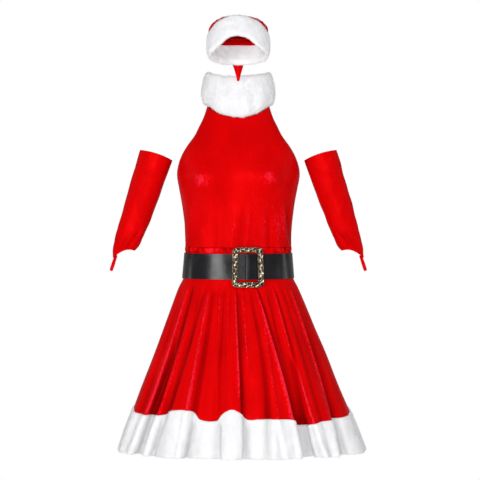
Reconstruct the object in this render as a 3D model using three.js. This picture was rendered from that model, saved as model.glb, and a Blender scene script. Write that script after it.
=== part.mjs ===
// A festive dress costume in red velvet with white plush trims, hollow and filled out as when it is worn.
// It has a plush stand collar, a halter bodice, a gathered waist casing, a folded skirt with a plush hem
// band, a strap belt with an ornate frame buckle, two fingerless sleeves and a small plush-brimmed hat.
// Millimetres. +X is to the viewer's right, +Y away from the viewer and +Z up.
// The origin is the middle of the neck opening, level with the collar seam at the sides of the neck.

import * as THREE from "three";

// Heights of the dress, from the collar down to the hem
const COLLAR_TOP = 74;
const UNDERARM = -152;
const BODICE_HEM = -335;
const CASING_HEM = -375;
const BELT_TOP = -350;
const BELT_BOTTOM = -409;
const TRIM_SEAM = -720;
const HEM = -817;

// Cloth, seams and clearances
const VELVET = 1.6;
const STRAP = 1.8;
const SEAM_GAP = 0.3;
const COLLAR_GAP = 1.2;

// The figure that fills the dress: half width at the sides, depth to the front and to the back, how
// square each section is, where 2 is an ellipse, and how far the hanging skirt sways to one side
const FIGURE = [
  { z: 20, half: 66, front: 60, back: 56, square: 2.0, sway: 0 },
  { z: 0, half: 71, front: 62, back: 58, square: 2.0, sway: 0 },
  { z: -32, half: 81, front: 68, back: 66, square: 2.0, sway: 0 },
  { z: -54, half: 91.5, front: 77, back: 73, square: 2.05, sway: 0 },
  { z: -75, half: 102, front: 87, back: 79, square: 2.1, sway: 0 },
  { z: -100, half: 120, front: 98, back: 86, square: 2.2, sway: 0 },
  { z: -125, half: 134, front: 105, back: 91, square: 2.25, sway: 0 },
  { z: UNDERARM, half: 142.5, front: 109, back: 94, square: 2.3, sway: 0 },
  { z: -172, half: 143.5, front: 109, back: 95, square: 2.3, sway: 0 },
  { z: -200, half: 138.5, front: 105, back: 93, square: 2.3, sway: 0 },
  { z: -240, half: 131, front: 99, back: 90, square: 2.3, sway: 0 },
  { z: -290, half: 125.5, front: 94, back: 86, square: 2.3, sway: 0 },
  { z: BODICE_HEM, half: 124.5, front: 92, back: 84, square: 2.3, sway: 0 },
  { z: CASING_HEM, half: 125.5, front: 93, back: 86, square: 2.25, sway: 0 },
  { z: BELT_BOTTOM, half: 129.5, front: 98, back: 92, square: 2.2, sway: 0 },
  { z: -433, half: 141, front: 104, back: 104, square: 2.1, sway: 0 },
  { z: -475, half: 158, front: 121, back: 120, square: 2.0, sway: 1 },
  { z: -620, half: 215.5, front: 171, back: 168, square: 2.0, sway: 4 },
  { z: HEM, half: 292, front: 236, back: 230, square: 2.0, sway: 8.5 },
];

// How far the cut edges of the armholes stand forward and back of the side of the body
const ARMHOLE = [
  { z: 20, forward: 12, backward: 12 },
  { z: 0, forward: 15, backward: 14 },
  { z: -35, forward: 36, backward: 30 },
  { z: -75, forward: 52, backward: 42 },
  { z: -110, forward: 47, backward: 38 },
  { z: -132, forward: 31, backward: 25 },
  { z: -145, forward: 15, backward: 12 },
  { z: UNDERARM, forward: 0, backward: 0 },
  { z: -172, forward: 0, backward: 0 },
];

// The shaping of the bodice front over the bust
const CUP = { x: 79, z: -174, out: 27, spreadX: 46, spreadZ: 50 };

// Skirt folds that run from the belt to the hem, in degrees from the front centre, with how far each
// stands out at the hem, or in where it is a trough
const FRONT_FOLDS = [
  { at: -70, out: 8, spread: 9 },
  { at: -56.5, out: -24, spread: 4.5 },
  { at: -49.5, out: 7, spread: 4 },
  { at: -43.5, out: -7, spread: 3.5 },
  { at: -34, out: 12, spread: 7.5 },
  { at: -17, out: -15, spread: 6.5 },
  { at: -4.6, out: 17, spread: 5.5 },
  { at: 4.5, out: -11, spread: 4 },
  { at: 17, out: 9, spread: 10 },
  { at: 33.5, out: -27, spread: 4.8 },
  { at: 46, out: 11, spread: 7 },
  { at: 56, out: -8, spread: 3.8 },
  { at: 69, out: 8, spread: 9 },
];
const BACK_FOLDS = [
  { at: 106, out: 8, spread: 8 },
  { at: 117, out: -20, spread: 5.5 },
  { at: 128, out: 10, spread: 7 },
  { at: 141, out: -15, spread: 6 },
  { at: 153, out: 14, spread: 7 },
  { at: 166, out: -22, spread: 6 },
  { at: 178, out: 13, spread: 7 },
  { at: 190, out: -12, spread: 6 },
  { at: 202, out: 10, spread: 8 },
  { at: 216, out: -24, spread: 5.5 },
  { at: 228, out: 12, spread: 7 },
  { at: 241, out: -14, spread: 6 },
  { at: 253, out: 8, spread: 7 },
];

// The height of the seam between the front of the skirt and its hem band, which hangs unevenly
const FRONT_SEAM = [
  { at: -91, z: -714 }, { at: -82, z: -716 }, { at: -57.5, z: -725 }, { at: -53.5, z: -721 },
  { at: -45, z: -720 }, { at: -40, z: -709 }, { at: -27, z: -708 }, { at: -22, z: -727 },
  { at: -13, z: -729 }, { at: -9.5, z: -712 }, { at: -4.6, z: -702 }, { at: 0, z: -711 },
  { at: 3.5, z: -726 }, { at: 9, z: -725 }, { at: 25, z: -726 }, { at: 29, z: -731 },
  { at: 33.5, z: -750 }, { at: 39, z: -740 }, { at: 46, z: -734 }, { at: 56, z: -732 },
  { at: 85, z: -724 }, { at: 91, z: -722 },
];

// Gathers under the belt and puckers in the waist casing, each counted all round
const GATHERS = { count: 28, out: 3.6, fullestBelowBelt: 45, goneBelowBelt: 210 };
const PUCKERS = { count: 40, out: 1.3, top: -336, fullest: -343, bottom: -350 };

// The plush hem band: how far its pile stands outside and inside the skirt cloth
const HEM_BAND = { outside: 5, inside: 7, follow: 1.1 };

// The collar: its seam and its top edge, lower at the front and back than at the sides
const COLLAR = {
  halfSeam: 71, frontSeam: 67, backSeam: 60,
  halfTop: 69, frontTop: 60, backTop: 56,
  seamSide: -5, seamFrontDrop: 27, seamBackRise: 8, topFrontDrop: 8, topBackDrop: 10,
};
// The section of the plush collar, as a share of its height and a distance from its middle line
const COLLAR_SECTION = [
  { rise: 0.0, out: 4 }, { rise: 0.06, out: 10 }, { rise: 0.3, out: 16.5 }, { rise: 0.6, out: 15.5 },
  { rise: 0.9, out: 11 }, { rise: 1.0, out: 5 }, { rise: 1.0, out: -4 }, { rise: 0.9, out: -9 },
  { rise: 0.6, out: -11 }, { rise: 0.28, out: -10.5 }, { rise: 0.05, out: -8 }, { rise: 0.0, out: -5 },
];

// The belt strap lies on the waist. Its front end folds round the buckle's centre bar.
const BELT = { clearance: 0.9, barAcross: 19.5, barRadius: 1.5, foldGap: 0.3, tailEnd: 78, returnEnd: 44 };
// The buckle frame, and the raised scrolls round it
const BUCKLE = {
  across: 21, height: -380.5, width: 69, tall: 93, bar: 12.5, depth: 4.5, corner: 11,
  behind: 7.5, widerBelow: 0.09, scrolls: 30, relief: 1.6,
};

// One sleeve, on the viewer's right: its line from the elbow end to the wrist, and its loop
const SLEEVE = {
  top: [193, 0, -120], wrist: [264.5, 0, -338], outerReach: 32, lowerCut: 2.4, topBow: 4,
  loopLength: 31, loopDepth: 22, loopBand: 7, loopCloth: 1.4, loopTuck: -0.3,
};
const SLEEVE_SECTIONS = [
  { along: 0.0, half: 38.5, deep: 35 },
  { along: 0.25, half: 37, deep: 33 },
  { along: 0.5, half: 34.8, deep: 29.5 },
  { along: 0.75, half: 31, deep: 25 },
  { along: 0.9, half: 28, deep: 22 },
  { along: 1.0, half: 26, deep: 21 },
];

// The hat leans back, with its opening to the viewer. Its crown flops behind the brim to a point.
const HAT = {
  centre: [0, -195, 146], lean: 29, opening: 52.5, facing: 11.5, dip: 13, arch: 16, archSpread: 42,
};
// The section of the brim: distance out from the opening, and height along the hat's own axis
const BRIM_SECTION = [
  { out: 0, up: -17 }, { out: 5, up: -26 }, { out: 13, up: -30 }, { out: 20, up: -26 },
  { out: 23, up: -14 }, { out: 23, up: 12 }, { out: 20, up: 25 }, { out: 13, up: 30 },
  { out: 4, up: 28 }, { out: 0, up: 18 },
];
// The crown's sections behind the brim: place back and up from the hat's centre, the turn of its line
// from upright, and half its width and height
const CROWN = [
  { back: 15.3, up: 27.6, turn: 29, half: 58, tall: 58, square: 2.0 },
  { back: 30, up: 30.5, turn: 35, half: 63, tall: 46.3, square: 2.1 },
  { back: 50.5, up: 31.5, turn: 46, half: 65, tall: 36.8, square: 2.2 },
  { back: 72, up: 25.5, turn: 64, half: 69, tall: 27.3, square: 2.3 },
  { back: 90, up: 12.5, turn: 96, half: 60, tall: 17.6, square: 2.2 },
  { back: 98.5, up: -7, turn: 130, half: 42, tall: 11.7, square: 2.1 },
  { back: 101.5, up: -33, turn: 158, half: 24, tall: 8.5, square: 2.0 },
  { back: 102, up: -52, turn: 178, half: 13.5, tall: 6.5, square: 2.0 },
  { back: 101.5, up: -74, turn: 180, half: 6.5, tall: 4.5, square: 2.0 },
  { back: 101, up: -91, turn: 180, half: 2.6, tall: 2.4, square: 2.0 },
];

const RED_VELVET = new THREE.MeshStandardMaterial({ color: 0xd40008, roughness: 0.75, metalness: 0 });
const WHITE_PLUSH = new THREE.MeshStandardMaterial({ color: 0xf4f4f5, roughness: 0.95, metalness: 0 });
const BLACK_STRAP = new THREE.MeshStandardMaterial({ color: 0x1a1a1c, roughness: 0.35, metalness: 0 });
const OLD_GOLD = new THREE.MeshStandardMaterial({ color: 0xc9a86a, roughness: 0.35, metalness: 0.9 });

const radians = THREE.MathUtils.degToRad;
const lerp = THREE.MathUtils.lerp;
const clamp = THREE.MathUtils.clamp;
const range = (count) => Array.from({ length: count }, (_, i) => i);
const bell = (x) => Math.exp(-x * x);

// The value of a table's column at a place along its key, on a smooth curve through the rows
function column(rows, key, name, at) {
  const way = Math.sign(rows.at(-1)[key] - rows[0][key]);
  let i = rows.findIndex((row, k) => k > 0 && (row[key] - at) * way >= 0) - 1;
  if (i < 0) i = (at - rows[0][key]) * way <= 0 ? 0 : rows.length - 2;
  const slope = (k) => {
    const before = rows[Math.max(k - 1, 0)];
    const after = rows[Math.min(k + 1, rows.length - 1)];
    return (after[name] - before[name]) / (after[key] - before[key]);
  };
  const [a, b] = [rows[i], rows[i + 1]];
  const step = b[key] - a[key];
  const t = clamp((at - a[key]) / step, 0, 1);
  const [t2, t3] = [t * t, t * t * t];
  return (2 * t3 - 3 * t2 + 1) * a[name] + (t3 - 2 * t2 + t) * step * slope(i)
    + (3 * t2 - 2 * t3) * b[name] + (t3 - t2) * step * slope(i + 1);
}

// A sine or cosine drawn out towards the corners of a rounded square
const squared = (value, square) => Math.sign(value) * Math.abs(value) ** (2 / square);

// Turns sections, each a closed loop of points, into one closed solid. The loops lie along a path, or
// all round a ring. Its ends are closed across each loop, whose first half faces its second half.
function solid(name, loops, material, { ring = false } = {}) {
  const [count, size] = [loops.length, loops[0].length];
  const vertices = loops.flat().flatMap((p) => [p.x, p.y, p.z]);
  const at = (i, j) => (i % count) * size + (j % size);
  const faces = [];
  const quad = (a, b, c, d) => faces.push(a, b, c, a, c, d);
  for (let i = 0; i < (ring ? count : count - 1); i++)
    for (let j = 0; j < size; j++) quad(at(i, j), at(i + 1, j), at(i + 1, j + 1), at(i, j + 1));
  if (!ring) {
    for (let j = 0; j < size / 2 - 1; j++) {
      quad(at(0, j), at(0, j + 1), at(0, size - 2 - j), at(0, size - 1 - j));
      const e = count - 1;
      quad(at(e, size - 1 - j), at(e, size - 2 - j), at(e, j + 1), at(e, j));
    }
  }
  const geometry = new THREE.BufferGeometry();
  geometry.setAttribute("position", new THREE.Float32BufferAttribute(vertices, 3));
  geometry.setIndex(volume(vertices, faces) < 0 ? faces.reverse() : faces);
  geometry.computeVertexNormals();
  const mesh = new THREE.Mesh(geometry, material);
  mesh.name = name;
  return mesh;
}

function volume(vertices, faces) {
  const p = (k) => new THREE.Vector3().fromArray(vertices, 3 * k);
  let sum = 0;
  for (let f = 0; f < faces.length; f += 3)
    sum += p(faces[f]).dot(p(faces[f + 1]).cross(p(faces[f + 2])));
  return sum / 6;
}

// The outward normal of a surface given by two numbers, away from a middle, and level where it is asked
function normalOf(surface, u, v, middle, level) {
  const step = 1e-3;
  const along = surface(u + step, v).sub(surface(u - step, v));
  const down = surface(u, v + step).sub(surface(u, v - step));
  const normal = along.cross(down);
  if (level) normal.setZ(0);
  normal.normalize();
  const here = surface(u, v);
  return normal.dot(here.clone().sub(middle(here))) < 0 ? normal.negate() : normal;
}

const onCentreLine = (p) => new THREE.Vector3(0, 0, p.z);

// The loops of a cloth wall whose outer face is a surface over columns u and rows v
function wall(surface, columns, rows, cloth, { middle = onCentreLine, level = false } = {}) {
  return columns.map((u) => {
    const outer = rows.map((v) => surface(u, v));
    const inner = rows.map((v, j) =>
      outer[j].clone().addScaledVector(normalOf(surface, u, v, middle, level), -cloth));
    return [...outer, ...inner.reverse()];
  });
}

const spread = (from, to, steps) => range(steps + 1).map((i) => lerp(from, to, i / steps));
const around = (steps) => range(steps).map((i) => -180 + (360 * i) / steps);

// A point of the figure's outline at a height, as an angle in degrees from the front centre
function figurePoint(angle, z, out = 0) {
  const square = column(FIGURE, "z", "square", z);
  const [s, c] = [Math.sin(radians(angle)), Math.cos(radians(angle))];
  const half = column(FIGURE, "z", "half", z);
  const deep = column(FIGURE, "z", c > 0 ? "front" : "back", z);
  const sway = column(FIGURE, "z", "sway", z);
  const point = new THREE.Vector3(sway + half * squared(s, square), -deep * squared(c, square), z);
  const away = new THREE.Vector3(s / half, -c / deep, 0).normalize();
  return point.addScaledVector(away, out);
}

// The heights of the collar's seam and of its top edge, at a place across the front or back of the neck
function collarSeam(x, front) {
  const level = 1 - clamp(x / COLLAR.halfSeam, -1, 1) ** 2;
  return COLLAR.seamSide + (front ? -COLLAR.seamFrontDrop : COLLAR.seamBackRise) * level;
}
function collarTop(x, front) {
  const level = 1 - clamp(x / COLLAR.halfTop, -1, 1) ** 2;
  return COLLAR_TOP - (front ? COLLAR.topFrontDrop : COLLAR.topBackDrop) * level;
}

// A point on a bodice panel: across runs from -90 to 90 degrees over the panel, down from 0 to 1
function bodicePoint(facing, across, down) {
  const front = facing === "front";
  const neck = COLLAR.halfSeam * Math.sin(radians(across));
  const seam = collarSeam(neck, front) - COLLAR_GAP;
  const z = lerp(seam, BODICE_HEM, down);
  const square = column(FIGURE, "z", "square", z);
  const [s, c] = [Math.sin(radians(across)), Math.cos(radians(across))].map((n) => squared(n, square));
  const edge = column(ARMHOLE, "z", front ? "forward" : "backward", Math.max(z, UNDERARM)) + SEAM_GAP / 2;
  const deep = column(FIGURE, "z", facing, z);
  const x = column(FIGURE, "z", "half", z) * s;
  let y = edge * (1 - c) + deep * c;
  if (front) {
    const cup = (side) => bell((x - side * CUP.x) / CUP.spreadX) * bell((z - CUP.z) / CUP.spreadZ);
    y += CUP.out * (cup(-1) + cup(1));
  }
  return new THREE.Vector3(x, front ? -y : y, z);
}

// The bodice: a halter front, and two backs that meet at the centre back
function bodice() {
  const rows = [0, 0.07, 0.15, 0.24, 0.33, 0.41, 0.47, 0.54, 0.62, 0.74, 0.87, 1];
  const panel = (name, facing, from, to, steps) =>
    solid(name, wall((u, v) => bodicePoint(facing, u, v), spread(from, to, steps), rows, VELVET,
      { level: true }), RED_VELVET);
  const halfSeam = 0.12;
  return [
    panel("bodice_front", "front", -90, 90, 28),
    panel("bodice_back_left", "back", -90, -halfSeam, 13),
    panel("bodice_back_right", "back", halfSeam, 90, 13),
  ];
}

// The plush stand collar, a tall soft band that closes at the centre back
function collar() {
  const halfSlit = 0.2;
  const loops = spread(-180 + halfSlit, 180 - halfSlit, 40).map((angle) => {
    const [s, c] = [Math.sin(radians(angle)), Math.cos(radians(angle))];
    const front = c > 0;
    const deepSeam = front ? COLLAR.frontSeam : COLLAR.backSeam;
    const deepTop = front ? COLLAR.frontTop : COLLAR.backTop;
    const away = new THREE.Vector3(s / COLLAR.halfSeam, -c / deepSeam, 0).normalize();
    return COLLAR_SECTION.map(({ rise, out }) => {
      const point = new THREE.Vector3(lerp(COLLAR.halfSeam, COLLAR.halfTop, rise) * s,
        -lerp(deepSeam, deepTop, rise) * c, 0).addScaledVector(away, out);
      return point.setZ(lerp(collarSeam(point.x, front), collarTop(point.x, front), rise));
    });
  });
  return [solid("collar", loops, WHITE_PLUSH)];
}

// The waist casing, puckered by its elastic where it shows above the belt
function casing() {
  const heights = [BODICE_HEM - SEAM_GAP, PUCKERS.fullest, BELT_TOP - 1, CASING_HEM];
  const surface = (angle, z) => {
    const full = clamp((z - PUCKERS.bottom) / (PUCKERS.fullest - PUCKERS.bottom), 0, 1);
    const pucker = Math.cos(radians(angle * PUCKERS.count)) * PUCKERS.out * full;
    return figurePoint(angle, z, Math.max(pucker, 0) + 0.3 * full);
  };
  return [solid("waist_casing", wall(surface, around(3 * PUCKERS.count), heights, VELVET), RED_VELVET,
    { ring: true })];
}

// How far the skirt stands out or in at a place, growing from the belt to the hem
function foldAt(angle, z) {
  const full = angle < -180 ? angle + 360 : angle;
  const folds = full > -90 && full < 90 ? FRONT_FOLDS : BACK_FOLDS;
  const at = full < -90 ? full + 360 : full;
  const below = clamp((BELT_BOTTOM - z) / (BELT_BOTTOM - HEM), 0, 1);
  const reach = 0.12 * clamp(below / 0.06, 0, 1) + 0.88 * below ** 1.15;
  const main = folds.reduce((sum, fold) => sum + fold.out * bell((at - fold.at) / fold.spread), 0);
  const drop = BELT_BOTTOM - z;
  const rising = clamp(drop / GATHERS.fullestBelowBelt, 0, 1);
  const fading = clamp((GATHERS.goneBelowBelt - drop) / GATHERS.goneBelowBelt, 0, 1);
  return main * reach + Math.cos(radians(at * GATHERS.count)) * GATHERS.out * rising * fading;
}

// The height of the seam between skirt and hem band. At the back it rises where a fold stands out.
function trimSeam(angle) {
  if (angle >= -90 && angle <= 90) return column(FRONT_SEAM, "at", "z", angle);
  const [right, left] = [FRONT_SEAM.at(-1).z, FRONT_SEAM[0].z];
  return lerp(right, left, (angle - 90) / 180) + HEM_BAND.follow * foldAt(angle, TRIM_SEAM);
}

// The skirt's outer face: down runs from 0 at the casing to 1 at the hem band
function skirtPoint(angle, z) {
  return figurePoint(angle, z, foldAt(angle, z));
}

const sideSeam = (half) => THREE.MathUtils.radToDeg(SEAM_GAP / half);

function skirt() {
  const panel = (name, from, to) => {
    // A row from -1 to 0 is behind the belt, and one from 0 to 1 between the belt and the hem band
    const rows = [-1, 0, 0.04, 0.1, 0.2, 0.4, 0.7, 1];
    const under = BELT_BOTTOM - 0.5;
    const surface = (angle, row) => skirtPoint(angle,
      row < 0 ? lerp(under, CASING_HEM - SEAM_GAP, -row) : lerp(under, trimSeam(angle), row));
    return solid(name, wall(surface, spread(from, to, 56), rows, VELVET, { level: true }), RED_VELVET);
  };
  const seam = sideSeam(2 * 128);
  return [
    panel("skirt_front", -90 + seam, 90 - seam),
    panel("skirt_back", 90 + seam, 270 - seam),
  ];
}

// The plush hem band, thick and soft, in a front and a back length
function hemBand() {
  const section = [
    { down: 0, out: 0 }, { down: 0.07, out: HEM_BAND.outside - 1 }, { down: 0.5, out: HEM_BAND.outside },
    { down: 0.94, out: HEM_BAND.outside - 1 }, { down: 1, out: 0.5 }, { down: 1, out: -2.5 },
    { down: 0.94, out: 1 - HEM_BAND.inside }, { down: 0.5, out: -HEM_BAND.inside },
    { down: 0.07, out: 1 - HEM_BAND.inside }, { down: 0, out: -VELVET },
  ];
  const panel = (name, from, to) => {
    const loops = spread(from, to, 56).map((angle) => section.map(({ down, out }) => {
      const height = (share) => lerp(trimSeam(angle) - 2 * SEAM_GAP, HEM, share);
      const surface = (a, share) => skirtPoint(a, height(share));
      const away = normalOf(surface, angle, down, onCentreLine, true);
      return surface(angle, down).addScaledVector(away, out);
    }));
    return solid(name, loops, WHITE_PLUSH);
  };
  const seam = sideSeam(2 * 260);
  return [
    panel("hem_band_front", -90 + seam, 90 - seam),
    panel("hem_band_back", 90 + seam, 270 - seam),
  ];
}

// The angle round the waist that lies a distance across from the front centre
function waistAngle(across) {
  const steps = 720;
  const z = (BELT_TOP + BELT_BOTTOM) / 2;
  let [length, angle] = [0, 0];
  const way = Math.sign(across);
  while (length < Math.abs(across)) {
    length += figurePoint(angle, z).distanceTo(figurePoint(angle + (way * 360) / steps, z));
    angle += (way * 360) / steps;
  }
  return angle;
}
const WAIST_AROUND = (() => {
  const z = (BELT_TOP + BELT_BOTTOM) / 2;
  return range(720).reduce((sum, i) =>
    sum + figurePoint(i / 2, z).distanceTo(figurePoint((i + 1) / 2, z)), 0);
})();
const WAIST_STEPS = range(241).map((i) => {
  const across = (i / 240 - 0.5) * 2 * WAIST_AROUND;
  return { across, angle: waistAngle(across) };
});

// A point off the straight bed of the belt, by its distance across the front, distance out and height
function bedPoint(across, out, z) {
  const angle = column(WAIST_STEPS, "across", "angle", across);
  return figurePoint(angle, BELT_TOP, out)
    .lerp(figurePoint(angle, BELT_BOTTOM, out), (BELT_TOP - z) / (BELT_TOP - BELT_BOTTOM));
}

// The belt strap as one path: the returned end, the fold round the bar, once round the waist, the tail
function belt() {
  const base = BELT.clearance + STRAP / 2;
  const layer = STRAP + SEAM_GAP;
  const bendRadius = BELT.barRadius + BELT.foldGap + STRAP / 2;
  const barOut = base + layer + bendRadius;
  const path = [
    { across: BELT.returnEnd, out: base + layer },
    { across: BELT.barAcross + 12, out: base + layer },
  ];
  for (const turn of spread(-90, -270, 8))
    path.push({
      across: BELT.barAcross + bendRadius * Math.cos(radians(turn)),
      out: barOut + bendRadius * Math.sin(radians(turn)),
    });
  path.push(
    { across: BELT.barAcross + 10, out: barOut + bendRadius - 0.8 },
    { across: BELT.barAcross + 18, out: base + 2 * layer + 0.4 },
    { across: BELT.returnEnd + 4, out: base + 2 * layer },
    { across: BELT.returnEnd + 14, out: base + 1.6 * layer },
    { across: BELT.tailEnd, out: base + 1.1 * layer },
    { across: BELT.tailEnd + 8, out: base + 0.8 * layer },
    { across: BELT.tailEnd + 20, out: base + 0.1 * layer },
  );
  for (const across of spread(BELT.tailEnd + 30, WAIST_AROUND + BELT.tailEnd - 4, 60))
    path.push({ across, out: base });
  const loops = path.map((here, i) => {
    const before = path[Math.max(i - 1, 0)];
    const after = path[Math.min(i + 1, path.length - 1)];
    const run = new THREE.Vector2(after.across - before.across, after.out - before.out).normalize();
    const side = (shift, z) => {
      const across = here.across - run.y * shift;
      const wrapped = across > WAIST_AROUND / 2 ? across - WAIST_AROUND : across;
      return bedPoint(wrapped, here.out + run.x * shift, z);
    };
    return [side(STRAP / 2, BELT_TOP), side(STRAP / 2, BELT_BOTTOM),
      side(-STRAP / 2, BELT_BOTTOM), side(-STRAP / 2, BELT_TOP)];
  });
  return [solid("belt_strap", loops, BLACK_STRAP)];
}

// A place on the buckle's rounded outline, as a share of the way round, at a distance in from its edge
function buckleOutline(share, inset) {
  const half = BUCKLE.width / 2 - inset;
  const tall = BUCKLE.tall / 2 - inset;
  const corner = Math.max(BUCKLE.corner - inset, 2);
  const shape = new THREE.Path()
    .moveTo(0, tall)
    .lineTo(half - corner, tall)
    .absarc(half - corner, tall - corner, corner, Math.PI / 2, 0, true)
    .lineTo(half, -tall + corner)
    .absarc(half - corner, -tall + corner, corner, 0, -Math.PI / 2, true)
    .lineTo(-half + corner, -tall)
    .absarc(-half + corner, -tall + corner, corner, -Math.PI / 2, -Math.PI, true)
    .lineTo(-half, tall - corner)
    .absarc(-half + corner, tall - corner, corner, Math.PI, Math.PI / 2, true)
    .lineTo(0, tall);
  return shape.getPointAt(share);
}

// The cast frame buckle, with raised scrolls all round, and its plain centre bar
function buckle() {
  const place = (flat, out) => {
    const wide = 1 - (BUCKLE.widerBelow * flat.y) / BUCKLE.tall;
    return bedPoint(BUCKLE.across + flat.x * wide, BELT.clearance + BUCKLE.behind + out,
      BUCKLE.height + flat.y);
  };
  const steps = BUCKLE.scrolls * 3;
  const loops = range(steps).map((i) => {
    const share = i / steps;
    const scroll = Math.abs(Math.sin(Math.PI * share * BUCKLE.scrolls));
    const section = [
      { inset: 0, out: 0 }, { inset: 0, out: BUCKLE.depth * 0.6 },
      { inset: BUCKLE.bar * 0.3, out: BUCKLE.depth * 0.75 + BUCKLE.relief * scroll },
      { inset: BUCKLE.bar * 0.7, out: BUCKLE.depth * 0.75 + BUCKLE.relief * (1 - scroll) },
      { inset: BUCKLE.bar, out: BUCKLE.depth * 0.6 }, { inset: BUCKLE.bar, out: 0 },
    ];
    return section.map(({ inset, out }) => place(buckleOutline(share, inset), out));
  });
  const frame = solid("buckle_frame", loops, OLD_GOLD, { ring: true });
  const bendRadius = BELT.barRadius + BELT.foldGap + STRAP / 2;
  const barOut = BELT.clearance + STRAP / 2 + STRAP + SEAM_GAP + bendRadius;
  const reach = BUCKLE.tall / 2 - BUCKLE.bar * 0.45;
  const sides = 8;
  const bars = spread(-reach, reach, 1).map((z) => range(sides).map((k) => {
    const turn = (2 * Math.PI * k) / sides;
    return bedPoint(BELT.barAcross + BELT.barRadius * Math.cos(turn),
      barOut + BELT.barRadius * Math.sin(turn), BUCKLE.height + z);
  }));
  return [frame, solid("buckle_bar", bars, OLD_GOLD)];
}

// A sleeve is a tapered tube, cut longer on its outer side, where a loop holds it to a finger
function sleeve(name, side) {
  const top = new THREE.Vector3(...SLEEVE.top);
  const wrist = new THREE.Vector3(...SLEEVE.wrist);
  const axis = wrist.clone().sub(top).normalize();
  const outer = new THREE.Vector3(-axis.z, 0, axis.x);
  const ahead = new THREE.Vector3(0, -1, 0);
  const length = wrist.distanceTo(top);
  const mirrored = (p) => (side > 0 ? p : new THREE.Vector3(-p.x, p.y, p.z));
  const cut = (angle) => SLEEVE.outerReach * ((1 + Math.cos(radians(angle))) / 2) ** SLEEVE.lowerCut;
  const bow = (angle) => SLEEVE.topBow * Math.sin(radians(angle)) ** 2;
  const onAxis = (angle, share) => top.clone()
    .addScaledVector(axis, share * (length + cut(angle) * share ** 3) - bow(angle) * (1 - share) ** 2);
  const surface = (angle, share) => {
    const half = column(SLEEVE_SECTIONS, "along", "half", share);
    const deep = column(SLEEVE_SECTIONS, "along", "deep", share);
    return onAxis(angle, share)
      .addScaledVector(outer, half * Math.cos(radians(angle)))
      .addScaledVector(ahead, deep * Math.sin(radians(angle)));
  };
  const rows = [0, 0.14, 0.28, 0.42, 0.56, 0.7, 0.82, 0.92, 1];
  const middle = (p) => top.clone().addScaledVector(axis, p.clone().sub(top).dot(axis));
  const tube = wall(surface, around(22), rows, VELVET, { middle }).map((loop) => loop.map(mirrored));
  const root = surface(0, 1).addScaledVector(outer, -VELVET - SEAM_GAP - SLEEVE.loopBand / 2);
  const loopMiddle = root.clone().addScaledVector(axis, SLEEVE.loopLength / 2 - SLEEVE.loopTuck);
  const band = range(16).map((i) => {
    const turn = (2 * Math.PI * i) / 16;
    const ringPoint = (grow, shift) => loopMiddle.clone()
      .addScaledVector(axis, -(SLEEVE.loopLength / 2 + grow) * Math.cos(turn))
      .addScaledVector(ahead, (SLEEVE.loopDepth / 2 + grow) * Math.sin(turn))
      .addScaledVector(outer, shift);
    const halfBand = SLEEVE.loopBand / 2;
    return [ringPoint(0, -halfBand), ringPoint(0, halfBand),
      ringPoint(-SLEEVE.loopCloth, halfBand), ringPoint(-SLEEVE.loopCloth, -halfBand)].map(mirrored);
  });
  return [
    solid(`sleeve_${name}`, tube, RED_VELVET, { ring: true }),
    solid(`finger_loop_${name}`, band, RED_VELVET, { ring: true }),
  ];
}

// The hat: a thick plush brim, and a crown whose lower edge is sewn inside it
function hat() {
  const centre = new THREE.Vector3(...HAT.centre);
  const lean = radians(HAT.lean);
  const axis = new THREE.Vector3(0, Math.sin(lean), Math.cos(lean));
  const raised = new THREE.Vector3(0, -Math.cos(lean), Math.sin(lean));
  // The ring of the brim dips at the sides
  const onRing = (angle, radius, up) => centre.clone()
    .addScaledVector(axis, up - HAT.dip * Math.sin(radians(angle)) ** 2)
    .add(new THREE.Vector3(radius * Math.sin(radians(angle)), 0, 0))
    .addScaledVector(raised, radius * Math.cos(radians(angle)));
  // The lower edge of the brim is arched over the middle of the front
  const lower = (angle) =>
    HAT.arch * (1 - bell((angle / HAT.archSpread) ** 2)) * Math.cos(radians(angle / 2)) ** 4;
  const brim = around(40).map((angle) => BRIM_SECTION.map(({ out, up }) =>
    onRing(angle, HAT.opening + out, up < 0 ? up * (1 + lower(angle) / 30) : up)));
  const inside = HAT.opening - 0.5;
  const steps = around(26);
  const outerRings = [
    steps.map((angle) => onRing(angle, inside, HAT.facing)),
    steps.map((angle) => onRing(angle, inside, 22)),
    steps.map((angle) => onRing(angle, inside + 3, 30)),
  ];
  for (const { back, up, turn, half, tall, square } of CROWN) {
    const [s, c] = [Math.sin(radians(turn)), Math.cos(radians(turn))];
    outerRings.push(steps.map((angle) => centre.clone().add(new THREE.Vector3(
      half * squared(Math.sin(radians(angle)), square),
      back - c * tall * squared(Math.cos(radians(angle)), square),
      up + s * tall * squared(Math.cos(radians(angle)), square),
    ))));
  }
  const middleOf = (points) => points.reduce((sum, p) => sum.add(p), new THREE.Vector3())
    .divideScalar(points.length);
  const innerRings = outerRings.map((points, k) => {
    const middle = middleOf(points);
    const closing = k === outerRings.length - 1;
    return points.map((p) => {
      const inward = middle.clone().sub(p);
      const shift = Math.min(VELVET, inward.length() * 0.6);
      return p.clone().addScaledVector(inward.normalize(), shift)
        .addScaledVector(new THREE.Vector3(0, 0, 1), closing ? VELVET : 0);
    });
  });
  return [
    solid("hat_brim", brim, WHITE_PLUSH, { ring: true }),
    cappedTube("hat_crown", outerRings, innerRings, RED_VELVET),
  ];
}

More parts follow.
